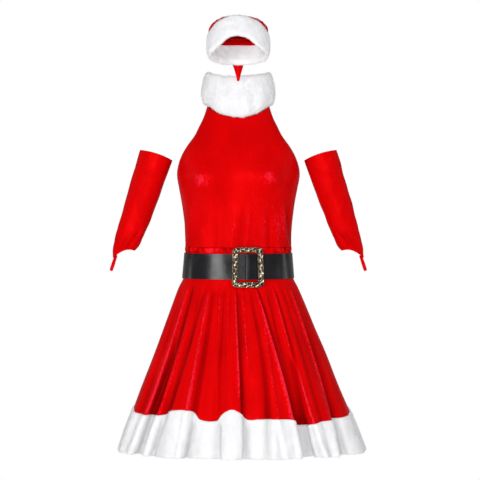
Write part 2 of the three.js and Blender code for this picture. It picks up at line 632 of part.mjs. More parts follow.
// A cloth tube that is open at its first ring and closed at its last
function cappedTube(name, outerRings, innerRings, material) {
  const [count, size] = [outerRings.length, outerRings[0].length];
  const middleOf = (points) => points.reduce((sum, p) => sum.add(p), new THREE.Vector3())
    .divideScalar(points.length);
  const points = [...outerRings.flat(), ...innerRings.flat(),
    middleOf(outerRings.at(-1)), middleOf(innerRings.at(-1))];
  const at = (layer, k, j) => layer * count * size + k * size + (j % size);
  const faces = [];
  const quad = (a, b, c, d) => faces.push(a, b, c, a, c, d);
  for (let j = 0; j < size; j++) {
    for (let k = 0; k < count - 1; k++) {
      quad(at(0, k, j), at(0, k + 1, j), at(0, k + 1, j + 1), at(0, k, j + 1));
      quad(at(1, k, j), at(1, k, j + 1), at(1, k + 1, j + 1), at(1, k + 1, j));
    }
    quad(at(0, 0, j), at(0, 0, j + 1), at(1, 0, j + 1), at(1, 0, j));
    faces.push(at(0, count - 1, j), points.length - 2, at(0, count - 1, j + 1));
    faces.push(at(1, count - 1, j), at(1, count - 1, j + 1), points.length - 1);
  }
  const vertices = points.flatMap((p) => [p.x, p.y, p.z]);
  const geometry = new THREE.BufferGeometry();
  geometry.setAttribute("position", new THREE.Float32BufferAttribute(vertices, 3));
  geometry.setIndex(volume(vertices, faces) < 0 ? faces.reverse() : faces);
  geometry.computeVertexNormals();
  const mesh = new THREE.Mesh(geometry, material);
  mesh.name = name;
  return mesh;
}

const costume = new THREE.Group();
costume.name = "costume";
costume.add(
  ...collar(), ...bodice(), ...casing(), ...skirt(), ...hemBand(), ...belt(), ...buckle(),
  ...sleeve("left", -1), ...sleeve("right", 1), ...hat(),
);

export default costume;
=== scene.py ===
"""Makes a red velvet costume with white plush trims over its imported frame."""

import math

import bpy
import numpy as np
from bpy.props import FloatProperty, FloatVectorProperty, PointerProperty
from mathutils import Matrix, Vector


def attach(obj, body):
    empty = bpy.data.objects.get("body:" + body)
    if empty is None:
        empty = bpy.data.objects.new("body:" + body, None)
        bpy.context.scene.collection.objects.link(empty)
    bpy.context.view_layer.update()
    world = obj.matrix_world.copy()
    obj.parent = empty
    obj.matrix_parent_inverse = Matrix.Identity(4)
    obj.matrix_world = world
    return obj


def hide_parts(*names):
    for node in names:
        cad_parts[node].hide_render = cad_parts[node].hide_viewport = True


bl_info = {
    "name": "Festive dress costume",
    "version": (1, 0, 0),
    "blender": (4, 5, 0),
    "location": "3D View > Sidebar > Costume",
    "description": "Makes a velvet dress, belt, sleeves and hat with plush trims over their "
                   "packed frame",
    "category": "Add Mesh",
}

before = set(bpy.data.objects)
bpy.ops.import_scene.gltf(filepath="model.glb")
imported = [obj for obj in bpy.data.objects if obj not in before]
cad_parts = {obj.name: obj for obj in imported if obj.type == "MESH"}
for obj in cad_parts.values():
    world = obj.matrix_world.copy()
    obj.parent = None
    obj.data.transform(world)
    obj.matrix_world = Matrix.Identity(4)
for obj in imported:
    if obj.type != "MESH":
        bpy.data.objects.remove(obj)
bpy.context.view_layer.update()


def table(names, *rows):
    """A table as one array for each named column."""
    return dict(zip(names.split(), np.array(rows, float).T))


# Heights of the dress in millimetres, from the collar down to the hem
COLLAR_TOP, UNDERARM, BODICE_HEM, CASING_HEM = 74, -152, -335, -375
BELT_TOP, BELT_BOTTOM, TRIM_SEAM, HEM = -350, -409, -720, -817
BELT_MIDDLE = (BELT_TOP + BELT_BOTTOM) / 2

# Cloth, seams and clearances in millimetres, and the panels' gap at a side seam in degrees
VELVET, PLUSH_BACKING, BAND_BACKING, STRAP = 1.6, 2.0, 0.9, 1.8
SEAM_GAP, COLLAR_GAP = 0.3, 1.2
SIDE_GAP = math.degrees(0.05 / 256)

# Millimetres of cloth for a degree round the bodice, the skirt and a sleeve, and along a sleeve
DEGREE = {"bodice": 1.8, "skirt": 3.4, "sleeve": 0.52}
SLEEVE_LENGTH = 240

# How far the rows of stitches are from the armhole edges and from the ends of a sleeve
STITCHED = {"armhole": 8.5, "sleeve": 9}

# Blades of the pile: lengths as shares, half widths and depth of their roots in millimetres, how
# upright they are, how many stand up, and how much they stray and turn
BLADE = {"shortest": 0.62, "thin": 0.20, "thick": 0.34, "rooted": 0.3, "flat": 0.18, "upright": 0.75,
         "standing": 0.14, "raised": 0.7, "stray": 0.5, "turned": 0.35, "soft": 0.16}
# Tufts of the pile: the wave in millimetres of each kind, and its share
TUFTS = ((11, 0.55), (34, 0.45))

# The figure that fills the dress, as in the frame's source
FIGURE = table(
    "z half front back square sway",
    (20, 66, 60, 56, 2.0, 0), (0, 71, 62, 58, 2.0, 0), (-32, 81, 68, 66, 2.0, 0),
    (-54, 91.5, 77, 73, 2.05, 0), (-75, 102, 87, 79, 2.1, 0), (-100, 120, 98, 86, 2.2, 0),
    (-125, 134, 105, 91, 2.25, 0), (-152, 142.5, 109, 94, 2.3, 0), (-172, 143.5, 109, 95, 2.3, 0),
    (-200, 138.5, 105, 93, 2.3, 0), (-240, 131, 99, 90, 2.3, 0), (-290, 125.5, 94, 86, 2.3, 0),
    (-335, 124.5, 92, 84, 2.3, 0), (-375, 125.5, 93, 86, 2.25, 0), (-409, 129.5, 98, 92, 2.2, 0),
    (-433, 141, 104, 104, 2.1, 0), (-475, 158, 121, 120, 2.0, 1), (-620, 215.5, 171, 168, 2.0, 4),
    (-817, 292, 236, 230, 2.0, 8.5),
)
ARMHOLE = table(
    "z forward backward",
    (20, 12, 12), (0, 15, 14), (-35, 36, 30), (-75, 52, 42), (-110, 47, 38), (-132, 31, 25),
    (-145, 15, 12), (-152, 0, 0), (-172, 0, 0),
)
CUP = {"x": 79, "z": -174, "out": 27, "spread_x": 46, "spread_z": 50}

# The skirt's main folds, in degrees from the front centre
FRONT_FOLDS = table(
    "at out spread",
    (-70, 8, 9), (-56.5, -24, 4.5), (-49.5, 7, 4), (-43.5, -7, 3.5), (-34, 12, 7.5), (-17, -15, 6.5),
    (-4.6, 17, 5.5), (4.5, -11, 4), (17, 9, 10), (33.5, -27, 4.8), (46, 11, 7), (56, -8, 3.8),
    (69, 8, 9),
)
BACK_FOLDS = table(
    "at out spread",
    (106, 8, 8), (117, -20, 5.5), (128, 10, 7), (141, -15, 6), (153, 14, 7), (166, -22, 6),
    (178, 13, 7), (190, -12, 6), (202, 10, 8), (216, -24, 5.5), (228, 12, 7), (241, -14, 6),
    (253, 8, 7),
)
FRONT_SEAM = table(
    "at z",
    (-91, -714), (-82, -716), (-57.5, -725), (-53.5, -721), (-45, -720), (-40, -709), (-27, -708),
    (-22, -727), (-13, -729), (-9.5, -712), (-4.6, -702), (0, -711), (3.5, -726), (9, -725),
    (25, -726), (29, -731), (34, -743), (40, -739), (46, -734), (56, -732), (85, -724), (91, -722),
)
GATHERS = {"count": 28, "out": 3.6, "fullest": 45, "gone": 210}
PUCKERS = {"count": 40, "out": 2.0, "fullest": -343, "bottom": -350}
HEM_FOLLOW = 1.1

# The skirt's finer creases: where each crosses three heights, how far it stands out or in, its width
# to the left and to the right, and the heights where it starts and ends
CREASE_HEIGHTS = (-415, -570, -725)
FRONT_CREASES = table(
    "top middle low out left right start end",
    (-111, -158, -213, 6.5, 7, 3.0, -409, -900), (-106, -151, -204, -14, 3.0, 10, -409, -900),
    (-74, -119, -170, -6.5, 9, 7, -409, -900), (-64, -93, -122, 4.6, 5, 6, -409, -900),
    (-55, -80, -106, -6.5, 5, 11, -409, -900), (-40, -50, -60, 4.5, 3, 3, -409, -560),
    (-34, -43, -52, -4.5, 3.2, 6, -409, -640), (-44, -46.5, -46.5, -2.4, 3, 4, -520, -760),
    (-24, -26, -28, 3, 3, 5, -409, -640), (-8, -2, 3.5, 6, 4, 2.6, -409, -720),
    (-3, 4.5, 11, -6.5, 2.6, 9, -409, -900), (1.5, 12, 21, -4, 4, 3, -409, -620),
    (7.3, 18.6, 27, 4, 3, 5, -409, -640), (20, 56, 70, -6.0, 11, 7, -409, -900),
    (35, 83, 122, 6, 5, 3, -409, -900), (40, 89, 129, -8.0, 3, 12, -409, -900),
    (76, 119, 152, 5.5, 5, 3, -409, -620), (81, 125, 158, -6.5, 3, 10, -409, -660),
    (90, 118, 148, -6.0, 6, 8, -560, -900), (101, 127, 170, 6, 3.4, 4, -580, -900),
    (100, 148, 192, -4.5, 8, 7, -409, -900), (113, 167, 210, 4, 5, 4, -409, -900),
    (121, 176, 219, -6.0, 4.5, 12, -409, -900), (-127, -176, -232, -4, 6, 9, -409, -900),
    (-90, -134, -186, 3, 5, 5, -480, -900), (52, 68, 92, 2.6, 5, 5, -409, -900),
    (-18, -22, -22, -4, 5, 4, -409, -560), (-88, -120, -150, -3, 4, 7, -409, -620),
    (62, 100, 134, -3.5, 4, 6, -409, -600), (14, 30, 40, -3.5, 4, 4, -409, -520),
    (-107, -160, -210, -9, 5, 5, -700, -990), (-90, -133, -175, -6, 5, 6, -712, -990),
    (-54, -81, -106, -9, 4, 14, -712, -990), (-22, -33, -43, -9, 14, 5, -712, -990),
    (9, 14, 18, -10, 5, 9, -712, -990), (75, 112, 147, -12, 6, 8, -712, -990),
    (84, 125, 165, -5, 5, 6, -720, -990), (113, 169, 222, -8, 5, 6, -712, -990),
    (-42, -62, -82, -3, 8, 8, -730, -990), (43, 65, 88, -4, 9, 7, -740, -990),
)
BACK_CREASES = table(
    "top middle low out left right start end",
    (-112, -152, -196, -5.5, 9, 4, -409, -900), (-104, -142, -186, 4.4, 3, 9, -409, -900),
    (-84, -116, -150, 3.6, 7, 4, -409, -900), (-72, -98, -126, -4.4, 3, 9, -409, -900),
    (-50, -68, -84, 3.8, 9, 3, -409, -900), (-42, -59, -74, -3.8, 3, 7, -409, -900),
    (-24, -32, -42, -4.2, 7, 4, -409, -900), (-17, -22, -30, 3.0, 3, 8, -409, -760),
    (4, 8, 12, 3.4, 7, 3, -409, -900), (12, 19, 26, -4.2, 3, 8, -409, -900),
    (34, 52, 66, 3.8, 8, 3, -409, -900), (42, 61, 78, -3.6, 3, 7, -409, -760),
    (58, 84, 112, -4.8, 8, 4, -409, -900), (66, 94, 122, 3.4, 3, 8, -409, -900),
    (90, 126, 162, 3.8, 8, 3, -409, -900), (99, 136, 174, -4.6, 3, 9, -409, -900),
    (118, 160, 206, -3.6, 6, 6, -409, -900), (-34, -48, -60, -2.2, 3, 3, -560, -900),
    (70, 98, 128, -2.2, 3, 3, -600, -900), (-60, -84, -106, 2.4, 4, 3, -409, -560),
)

# Drapes of the bodice: a line from one place across and height to another, out or in, and width
FRONT_DRAPES = table(
    "x z to_x to_z out width",
    (112, -232, 123, -328, -4.5, 5), (102, -222, 110, -318, 1.8, 7), (17, -226, 4, -334, -2.2, 6),
    (26, -240, 17, -334, 1.6, 6), (-20, -252, -34, -334, -1.6, 8), (-52, -262, -58, -334, -1.4, 8),
    (-8, -236, -16, -334, 1.2, 7), (70, -250, 74, -334, -2.2, 6), (60, -258, 58, -334, 1.4, 7),
    (88, -262, 94, -334, 1.5, 6), (-84, -276, -86, -334, 1.3, 8), (-104, -222, -116, -300, 1.5, 8),
    (-128, -196, -98, -174, -0.7, 7), (126, -200, 100, -178, -0.7, 7), (-66, -96, -26, -128, 0.9, 9),
    (60, -90, 22, -124, 0.9, 9),
)
# Places of the bodice's front painted with a highlight, where the nap would catch the light, as drapes
BODICE_PAINTED_HIGHLIGHTS = table(
    "x z to_x to_z out width",
    (-91, -164, -86, -186, 0.62, 8), (70, -158, 77, -178, 0.55, 8), (-66, -184, -76, -194, 0.3, 7),
    (-146, -160, -130, -262, 0.62, 7), (139, -150, 128, -250, 0.45, 6), (86, -172, 82, -188, 0.3, 6),
    (-96, -158, -84, -192, 0.44, 16), (66, -154, 79, -188, 0.44, 16),
)
BACK_DRAPES = table(
    "x z to_x to_z out width",
    (-96, -250, -104, -334, -2.0, 8), (-64, -262, -66, -334, 1.6, 8), (-34, -250, -30, -334, -1.8, 7),
    (38, -252, 32, -334, -1.8, 7), (66, -258, 68, -334, 1.6, 8), (98, -244, 104, -334, -2.0, 8),
    (-122, -200, -84, -218, -1.6, 9), (122, -196, 86, -216, -1.6, 9), (-40, -306, 0, -318, 1.4, 8),
    (0, -318, 44, -304, 1.4, 8),
)

# The collar: its seam, its top edge, and the section of its backing over and down inside
COLLAR = {
    "half_seam": 71, "front_seam": 67, "back_seam": 60, "half_top": 69, "front_top": 60,
    "back_top": 56, "side": -5, "front_drop": 27, "back_rise": 8, "top_front": 8, "top_back": 10,
}
COLLAR_BACKING = table(
    "rise out",
    (0.0, 2.5), (0.03, 7.5), (0.12, 11.8), (0.3, 15.2), (0.45, 15.8), (0.6, 14.2), (0.78, 11.0),
    (0.92, 6.6), (0.97, 1.2), (0.93, -3.8), (0.8, -5.6), (0.6, -6.6), (0.35, -6.6), (0.15, -5.6),
    (0.04, -4.2),
)
# Dents and swells of the collar in degrees from the front and shares of its height, and a notch
COLLAR_DENTS = table(
    "at rise out wide tall",
    (27, 0.36, -3.6, 9, 0.34), (40, 0.3, 1.5, 9, 0.3), (-148, 0.5, -3.0, 7, 0.4),
    (118, 0.6, -2.4, 9, 0.4),
)
COLLAR_NOTCH = table("at rise out wide tall", (-27, 0.95, -3.5, 5, 0.1))

# Heights of the waist casing's rows, and the hem band's section
CASING_ROWS = (-335.3, -336.2, -338, -340.5, -343, -345.5, -348, -350, -351.5, -360, -375)
HEM_SECTION = table(
    "down out",
    (0.0, -0.6), (0.012, 0.8), (0.05, 2.0), (0.25, 2.4), (0.5, 2.4), (0.75, 2.2), (0.92, 1.5),
    (0.965, -0.6), (0.92, -2.6), (0.75, -3.2), (0.5, -3.2), (0.25, -3.2), (0.05, -2.8), (0.01, -1.9),
)

# The belt strap, the buckle frame and its bar
BELT = {"clearance": 0.9, "bar_across": 19.5, "bar_radius": 1.5, "fold_gap": 0.3, "tail": 78,
        "returned": 44}
BUCKLE = {"across": 21, "height": -380.5, "width": 69, "tall": 93, "bar": 12.5, "depth": 4.5,
          "corner": 11, "behind": 7.5, "wider_below": 0.09}
STRAP_BASE, STRAP_LAYER = BELT["clearance"] + STRAP / 2, STRAP + SEAM_GAP
BAR_BEND = BELT["bar_radius"] + BELT["fold_gap"] + STRAP / 2
BAR_OUT = STRAP_BASE + STRAP_LAYER + BAR_BEND
# The buckle's relief: its scroll units, the middle of the bar, the height it stands on, and the
# count, inset, size and height of the beads along both edges
SCROLLS, BAR_MIDDLE, FRAME_TOP = 30, BUCKLE["bar"] / 2, BUCKLE["depth"] * 0.62
EDGE_BEADS = ((96, 1.2, 1.1, 0.15), (66, BUCKLE["bar"] - 1.15, 1.1, 0.15))

# A sleeve on the viewer's right, and the loop inside its point
SLEEVE = {
    "top": (193, 0, -120), "wrist": (264.5, 0, -338), "outer_reach": 32, "lower_cut": 2.4, "bow": 4,
    "loop_length": 39, "loop_depth": 22, "loop_band": 8, "loop_cloth": 1.4, "loop_tuck": 8,
}
SLEEVE_SECTIONS = table(
    "along half deep",
    (0, 38.0, 35), (0.02, 38.5, 35), (0.25, 37, 33), (0.5, 34.8, 29.5), (0.75, 31, 25),
    (0.87, 28.4, 22.5), (0.94, 26.2, 21), (1, 20.5, 18.5),
)
SLEEVE_CREASES = table(
    "at along to_at to_along out width",
    (104, 0.82, 76, 0.99, -3.2, 8), (128, 0.78, 100, 1.0, 1.4, 6), (70, 0.30, 112, 0.44, -1.2, 6),
    (128, 0.10, 84, 0.24, -1.2, 6), (48, 0.52, 92, 0.64, -1.1, 5), (60, 0.05, 96, 0.12, 1.0, 6),
    (-70, 0.30, -112, 0.42, -1.4, 6), (-60, 0.72, -104, 0.86, -1.8, 5),
    (-120, 0.08, -76, 0.22, -1.3, 6), (160, 0.60, 200, 0.74, -0.7, 8), (20, 0.80, -30, 0.92, -1.2, 5),
    (176, 0.86, 150, 0.98, 1.2, 5),
)

# The hat: its ring, the backing section of its brim, and its crown's sections
HAT = {"centre": (0, -195, 142.8), "lean": 29, "opening": 52.5, "facing": 11.5, "dip": 13, "arch": 20,
       "arch_spread": 34, "raised_back": 5.5, "raised_spread": 60}
BRIM_BACKING = table(
    "out up",
    (3.4, -12), (4.6, -19.5), (8.5, -24.5), (13, -25.8), (17, -22.5), (18.8, -12), (18.9, 0),
    (18.8, 11), (17, 21), (13, 25.8), (7.5, 24.5), (4.2, 18), (3.4, 8), (3.2, -2),
)
CROWN = table(
    "back up turn half tall square",
    (15.3, 27.6, 29, 57, 57, 2.0), (30, 29.5, 35, 62, 44, 2.1), (50.5, 29, 46, 64, 34.5, 2.2),
    (72, 23.5, 64, 68.5, 26, 2.3), (90, 12.5, 96, 60, 17.6, 2.2), (98.5, -7, 130, 42, 11.7, 2.1),
    (101.5, -33, 158, 24, 8.5, 2.0), (102, -52, 178, 13.5, 6.5, 2.0), (101.5, -74, 180, 6.5, 4.5, 2.0),
    (101, -91, 180, 2.6, 2.4, 2.0),
)

# The stage: watts, place and size of each light that the panel leaves out, and the camera, in metres
LIT_MIDDLE = (0, 0, -0.36)
SMALL_LIGHTS = {
    "Front light": (124, (0.1, -5.8, -0.8), (1.5, 1.0)),
    "Right edge light": (6, (2.2, 0.3, 0.1), (0.5, 2.0)),
    "Left edge light": (4, (-2.2, 0.5, 0.2), (0.5, 2.0)),
    "Back light": (22, (0.3, 3.2, 1.2), (1.8, 1.4)),
}
CAMERA = {"lens": 223, "sensor": 36, "far": 60, "place": (0.004, -7.0, -0.11),
          "look_at": (0.004, 0, -0.32)}


def colour(name, description, default):
    """A colour that the panel shows."""
    return FloatVectorProperty(
        name=name, description=description, subtype="COLOR", size=3, min=0, max=1, default=default)


class CostumeLooks(bpy.types.PropertyGroup):
    """Colours and pile of the costume"""

    velvet: colour("Velvet", "Colour of the velvet where it is lit", (0.645, 0.0006, 0.0012))
    velvet_deep: colour(
        "Velvet nap", "Colour of the velvet where its nap lies the other way", (0.40, 0.0004, 0.001))
    # Painted highlight: this colour is mixed into the velvet along its ridges
    velvet_painted_highlight: colour("Velvet shine", "Colour of the velvet along its ridges", (0.92, 0.022, 0.055))
    # The plush's painted glow and painted shade are drawn from this colour too
    plush: colour("Plush", "Colour of the plush pile", (0.685, 0.685, 0.695))
    strap: colour("Strap", "Colour of the belt strap", (0.003, 0.003, 0.004))
    gold: colour("Gold", "Colour of the raised metal", (1.0, 0.87, 0.65))
    patina: colour("Patina", "Colour of the metal's recesses", (0.030, 0.020, 0.011))
    pile: FloatProperty(
        name="Pile length", description="Length of the plush pile", unit="LENGTH", min=0.002,
        max=0.012, default=0.0062)
    crease: FloatProperty(
        name="Creases", description="Depth of the finer creases, as a share of the usual depth",
        subtype="FACTOR", min=0, max=2, default=1.25)


class CostumeStage(bpy.types.PropertyGroup):
    """Floor and light of the costume's stage"""

    floor_height: FloatProperty(
        name="Floor height", description="Height of the floor below the collar seam", unit="LENGTH",
        default=-1.42)
    floor_colour: colour("Floor", "Colour of the floor", (0.93, 0.93, 0.93))
    key: FloatProperty(
        name="Main light", description="Power of the main soft light", unit="POWER", min=0,
        default=80)
    fill: FloatProperty(
        name="Fill light", description="Power of the soft light on the other side", unit="POWER",
        min=0, default=40)
    surround: FloatProperty(
        name="Surround", description="Strength of the even light all round", min=0, max=2,
        default=0.30)


def squared(value, square):
    """A sine or cosine drawn out towards the corners of a rounded square."""
    return np.sign(value) * np.abs(value) ** (2 / square)


def bell(x):
    return np.exp(-np.square(x))


def lerp(a, b, share):
    return a + (b - a) * share


def ease(x):
    """A smooth rise from 0 to 1."""
    x = np.clip(x, 0, 1)
    return x * x * (3 - 2 * x)


def unit(v):
    return v / np.maximum(np.linalg.norm(v, axis=-1, keepdims=True), 1e-9)


def column(rows, key, name, at):
    """Values of a table's column at places along its key, on a smooth curve through the rows."""
    order = np.argsort(rows[key])
    keys, values = rows[key][order], rows[name][order]
    last = len(keys) - 1
    k = np.arange(last + 1)
    before, after = np.maximum(k - 1, 0), np.minimum(k + 1, last)
    slopes = (values[after] - values[before]) / (keys[after] - keys[before])
    at = np.clip(at, keys[0], keys[-1])
    i = np.clip(np.searchsorted(keys, at, side="right") - 1, 0, last - 1)
    step = keys[i + 1] - keys[i]
    t = (at - keys[i]) / step
    t2, t3 = t * t, t * t * t
    return ((2 * t3 - 3 * t2 + 1) * values[i] + (t3 - 2 * t2 + t) * step * slopes[i]
            + (3 * t2 - 2 * t3) * values[i + 1] + (t3 - t2) * step * slopes[i + 1])


def between(values, at):
    """Values at places along an array, counted from its first, on a smooth curve."""
    return column({"k": np.arange(len(values), dtype=float), "v": values}, "k", "v", at)


def section_at(section, steps, closed=False):
    """A section's columns on a smooth curve through its rows, each as one row of a grid."""
    found = []
    for values in section.values():
        if closed:
            share = np.linspace(2, 2 + len(values), steps, endpoint=False)
            values = np.concatenate([values[-2:], values, values[:3]])
        else:
            share = np.linspace(0, len(values) - 1, steps)
        found.append(between(values, share)[None])
    return found


def ripple(points, wave, seed, count=8):
    """Smooth uneven values over points in millimetres, the same in every run."""
    rng = np.random.default_rng(seed)
    ways = unit(rng.normal(size=(count, 3))) * (2 * math.pi / wave)
    ways *= rng.uniform(0.65, 1.5, (count, 1))
    phases = rng.uniform(0, 2 * math.pi, count)
    return np.sin(points @ ways.T + phases).sum(-1) / math.sqrt(count)


def figure(angle, z, out=0.0):
    """Points of the figure's outline, at degrees from the front centre and at heights."""
    angle, z, out = np.broadcast_arrays(np.asarray(angle, float), np.asarray(z, float), out)
    square = column(FIGURE, "z", "square", z)
    s, c = np.sin(np.radians(angle)), np.cos(np.radians(angle))
    half = column(FIGURE, "z", "half", z)
    deep = np.where(c > 0, column(FIGURE, "z", "front", z), column(FIGURE, "z", "back", z))
    x = column(FIGURE, "z", "sway", z) + half * squared(s, square)
    y = -deep * squared(c, square)
    size = np.hypot(s / half, c / deep)
    return np.stack([x + out * s / half / size, y - out * c / deep / size, z], -1)


def collar_seam(x, front):
    level = 1 - np.clip(x / COLLAR["half_seam"], -1, 1) ** 2
    return COLLAR["side"] + np.where(front, -COLLAR["front_drop"], COLLAR["back_rise"]) * level


def collar_top(x, front):
    level = 1 - np.clip(x / COLLAR["half_top"], -1, 1) ** 2
    return COLLAR_TOP - np.where(front, COLLAR["top_front"], COLLAR["top_back"]) * level


def dents(places, angle, rise):
    """Dents and swells over a grid, by degrees from the front and shares of the height."""
    depth = 0
    for at, height, out, wide, tall in zip(*places.values()):
        depth = depth + out * bell((angle - at) / wide) * bell((rise - height) / tall)
    return depth


def bodice_points(front, across, down):
    """The bodice's outer face: across from -90 to 90 degrees over a panel, down from 0 to 1."""
    across, down = np.meshgrid(across, down, indexing="ij")
    turn = np.radians(across)
    seam = collar_seam(COLLAR["half_seam"] * np.sin(turn), front) - COLLAR_GAP
    z = lerp(seam, BODICE_HEM, down)
    square = column(FIGURE, "z", "square", z)
    s, c = squared(np.sin(turn), square), squared(np.cos(turn), square)
    way = "forward" if front else "backward"
    edge = column(ARMHOLE, "z", way, np.maximum(z, UNDERARM)) + SEAM_GAP / 2
    x = column(FIGURE, "z", "half", z) * s
    y = edge * (1 - c) + column(FIGURE, "z", "front" if front else "back", z) * c
    if front:
        for side in (-1, 1):
            y = y + CUP["out"] * bell((x - side * CUP["x"]) / CUP["spread_x"]) \
                * bell((z - CUP["z"]) / CUP["spread_z"])
    return np.stack([x, -y if front else y, z], -1)


def fold_at(angle, z, gathered=1.0):
    """How far the skirt stands out or in, growing from the belt to the hem."""
    below = np.clip((BELT_BOTTOM - z) / (BELT_BOTTOM - HEM), 0, 1)
    reach = 0.12 * np.clip(below / 0.06, 0, 1) + 0.88 * below ** 1.15
    main = np.zeros_like(angle * z)
    for folds, here in ((FRONT_FOLDS, np.abs(angle) < 90), (BACK_FOLDS, np.abs(angle) >= 90)):
        for at, out, wide in zip(folds["at"], folds["out"], folds["spread"]):
            main = main + here * out * bell((angle - at) / wide)
    drop = BELT_BOTTOM - z
    full = np.clip(drop / GATHERS["fullest"], 0, 1)
    full = full * np.clip((GATHERS["gone"] - drop) / GATHERS["gone"], 0, 1)
    gathers = np.cos(np.radians(angle * GATHERS["count"])) * GATHERS["out"] * full
    return main * reach + gathers * gathered


def trim_seam(angle):
    """The height of the seam between the skirt and its hem band."""
    front = column(FRONT_SEAM, "at", "z", angle)
    back = lerp(-722, -714, (angle - 90) / 180) + HEM_FOLLOW * fold_at(angle, TRIM_SEAM)
    return np.where(np.abs(angle) <= 90, front, back)


def crease_depth(points, creases, back):
    """The finer creases of the skirt, by a point's place across and its height."""
    across = -points[..., 0] if back else points[..., 0]
    z = points[..., 2]
    top, middle, low = CREASE_HEIGHTS
    share = (z - top) / (low - top)
    depth = np.zeros_like(z)
    for k in range(len(creases["top"])):
        a, b, c, out, left, right, start, end = (
            creases[name][k]
            for name in ("top", "middle", "low", "out", "left", "right", "start", "end"))
        bow = (b - (a + c) / 2) * 4
        line = lerp(a, c, share) + bow * share * (1 - share)
        lower = np.clip(share, 0, 1.3)
        grown = ease((start - z) / 45) * (0.55 + 0.45 * lower) * ease((z - end) / 90)
        far = across - line
        width = np.where(far < 0, left, right) * (0.5 + 0.5 * lower)
        depth += out * grown * bell(far / width)
    return depth


def drape_depth(points, drapes, edge):
    """Soft lines across the cloth, each from one place to another."""
    x, z = points[..., 0], points[..., 2]
    depth = np.zeros_like(x)
    for k in range(len(drapes["x"])):
        ax, az, bx, bz = (drapes[name][k] for name in ("x", "z", "to_x", "to_z"))
        length = math.hypot(bx - ax, bz - az)
        ux, uz = (bx - ax) / length, (bz - az) / length
        along = ((x - ax) * ux + (z - az) * uz) / length
        off = (x - ax) * uz - (z - az) * ux
        ended = 1 if edge and bz <= -330 else ease((1.15 - along) / 0.4)
        fade = ease((along + 0.15) / 0.5) * ended
        depth += drapes["out"][k] * fade * bell(off / drapes["width"][k])
    return depth


def normals_of(points, closed=False, ring=False):
    """Outward unit normals of a grid of points. closed joins its first axis, ring its second."""
    grid = points
    if closed:
        grid = np.concatenate([grid[-1:], grid, grid[:1]], 0)
    if ring:
        grid = np.concatenate([grid[:, -1:], grid, grid[:, :1]], 1)
    normal = np.cross(np.gradient(grid, axis=1), np.gradient(grid, axis=0))
    if closed:
        normal = normal[1:-1]
    if ring:
        normal = normal[:, 1:-1]
    return unit(normal)


def level_normals(points):
    """Outward unit normals of a grid of points, kept level."""
    side = np.gradient(points, axis=0)
    return unit(np.stack([side[..., 1], -side[..., 0], np.zeros_like(side[..., 0])], -1))


def facing_out(points, axis, ring=False):
    """A closed grid and its normals, both turned to face away from the middle along an axis."""
    normals = normals_of(points, True, ring)
    if (normals * (points - points.mean(axis, keepdims=True))).sum() < 0:
        points = points[::-1]
        normals = normals_of(points, True, ring)
    return points, normals


def ridge_of(depth):
    """How far a place stands on a ridge, above 0, or lies in a crease, below 0, which the finish
    paints as a highlight or as shade.
    """
    return depth / np.where(depth < 0, 10, 6)


def near_edges(start, stop, steps, edge, count=3):
    """Even steps from start to stop, with closer ones in the last stretch at each end."""
    inner = np.linspace(start, stop, steps)
    close = np.array([edge * 0.5 ** k for k in range(1, count + 1)])
    both = np.concatenate([inner, start + close, stop - close])
    return np.unique(np.round(both, 6))


def arc_lengths(points, axis):
    steps = np.linalg.norm(np.diff(points, axis=axis), axis=-1)
    first = np.zeros_like(np.take(steps, [0], axis=axis))
    return np.concatenate([first, np.cumsum(steps, axis=axis)], axis)


def mesh_from(name, vertices, faces, corners=None, smooth=True):
    """A mesh from points in millimetres and faces, with map coordinates for each face corner."""
    mesh = bpy.data.meshes.new(name)
    size = faces.shape[1]
    mesh.vertices.add(len(vertices))
    mesh.vertices.foreach_set("co", (vertices * 0.001).astype(np.float32).ravel())
    mesh.loops.add(faces.size)
    mesh.loops.foreach_set("vertex_index", faces.astype(np.int32).ravel())
    mesh.polygons.add(len(faces))
    mesh.polygons.foreach_set("loop_start", np.arange(0, faces.size, size, dtype=np.int32))
    mesh.polygons.foreach_set("use_smooth", np.full(len(faces), smooth))
    if corners is not None:
        layer = mesh.uv_layers.new(name="UVMap")
        layer.data.foreach_set("uv", (corners * 0.001).astype(np.float32).ravel())
    mesh.update(calc_edges=True)
    mesh.validate()
    return mesh


def grid_mesh(name, points, closed=False, ring=False):
    """The mesh of a grid of points, with map coordinates in metres of cloth."""
    columns, rows = points.shape[:2]
    along = points
    if closed:
        along = np.concatenate([along, along[:1]], 0)
    if ring:
        along = np.concatenate([along, along[:, :1]], 1)
    u, v = arc_lengths(along, 0), arc_lengths(along, 1)
    i, j = np.meshgrid(np.arange(along.shape[0] - 1), np.arange(along.shape[1] - 1), indexing="ij")
    i, j = i.ravel(), j.ravel()
    corners = [(i, j), (i, j + 1), (i + 1, j + 1), (i + 1, j)]
    faces = np.stack([(a % columns) * rows + (b % rows) for a, b in corners], -1)
    spread = np.stack([np.stack([u[a, b], v[a, b]], -1) for a, b in corners], 1)
    return mesh_from(name, points.reshape(-1, 3), faces, spread.reshape(-1, 2))


def dress(piece, material, nodes=()):
    """Puts a piece of the costume on the body's root, hides the frame's parts that it covers, and
    gives it its finish.
    """
    piece.data.name = piece.name
    piece.data.materials.clear()
    piece.data.materials.append(material)
    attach(piece, "root")
    if nodes:
        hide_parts(*nodes)
    return piece


def keep(mesh, material, nodes=()):
    """Puts a mesh into the scene as a piece of the costume."""
    piece = bpy.data.objects.new(mesh.name, mesh)
    bpy.context.scene.collection.objects.link(piece)
    return dress(piece, material, nodes)


def mark(mesh, name, values):
    """Stores a value for each point of a mesh, which its finish reads."""
    held = mesh.attributes.new(name, "FLOAT", "POINT")
    held.data.foreach_set("value", np.asarray(values, np.float32).ravel())


def choose(piece):
    """Makes one piece the only selected one, and the active one."""
    bpy.ops.object.select_all(action="DESELECT")
    bpy.context.view_layer.objects.active = piece
    piece.select_set(True)


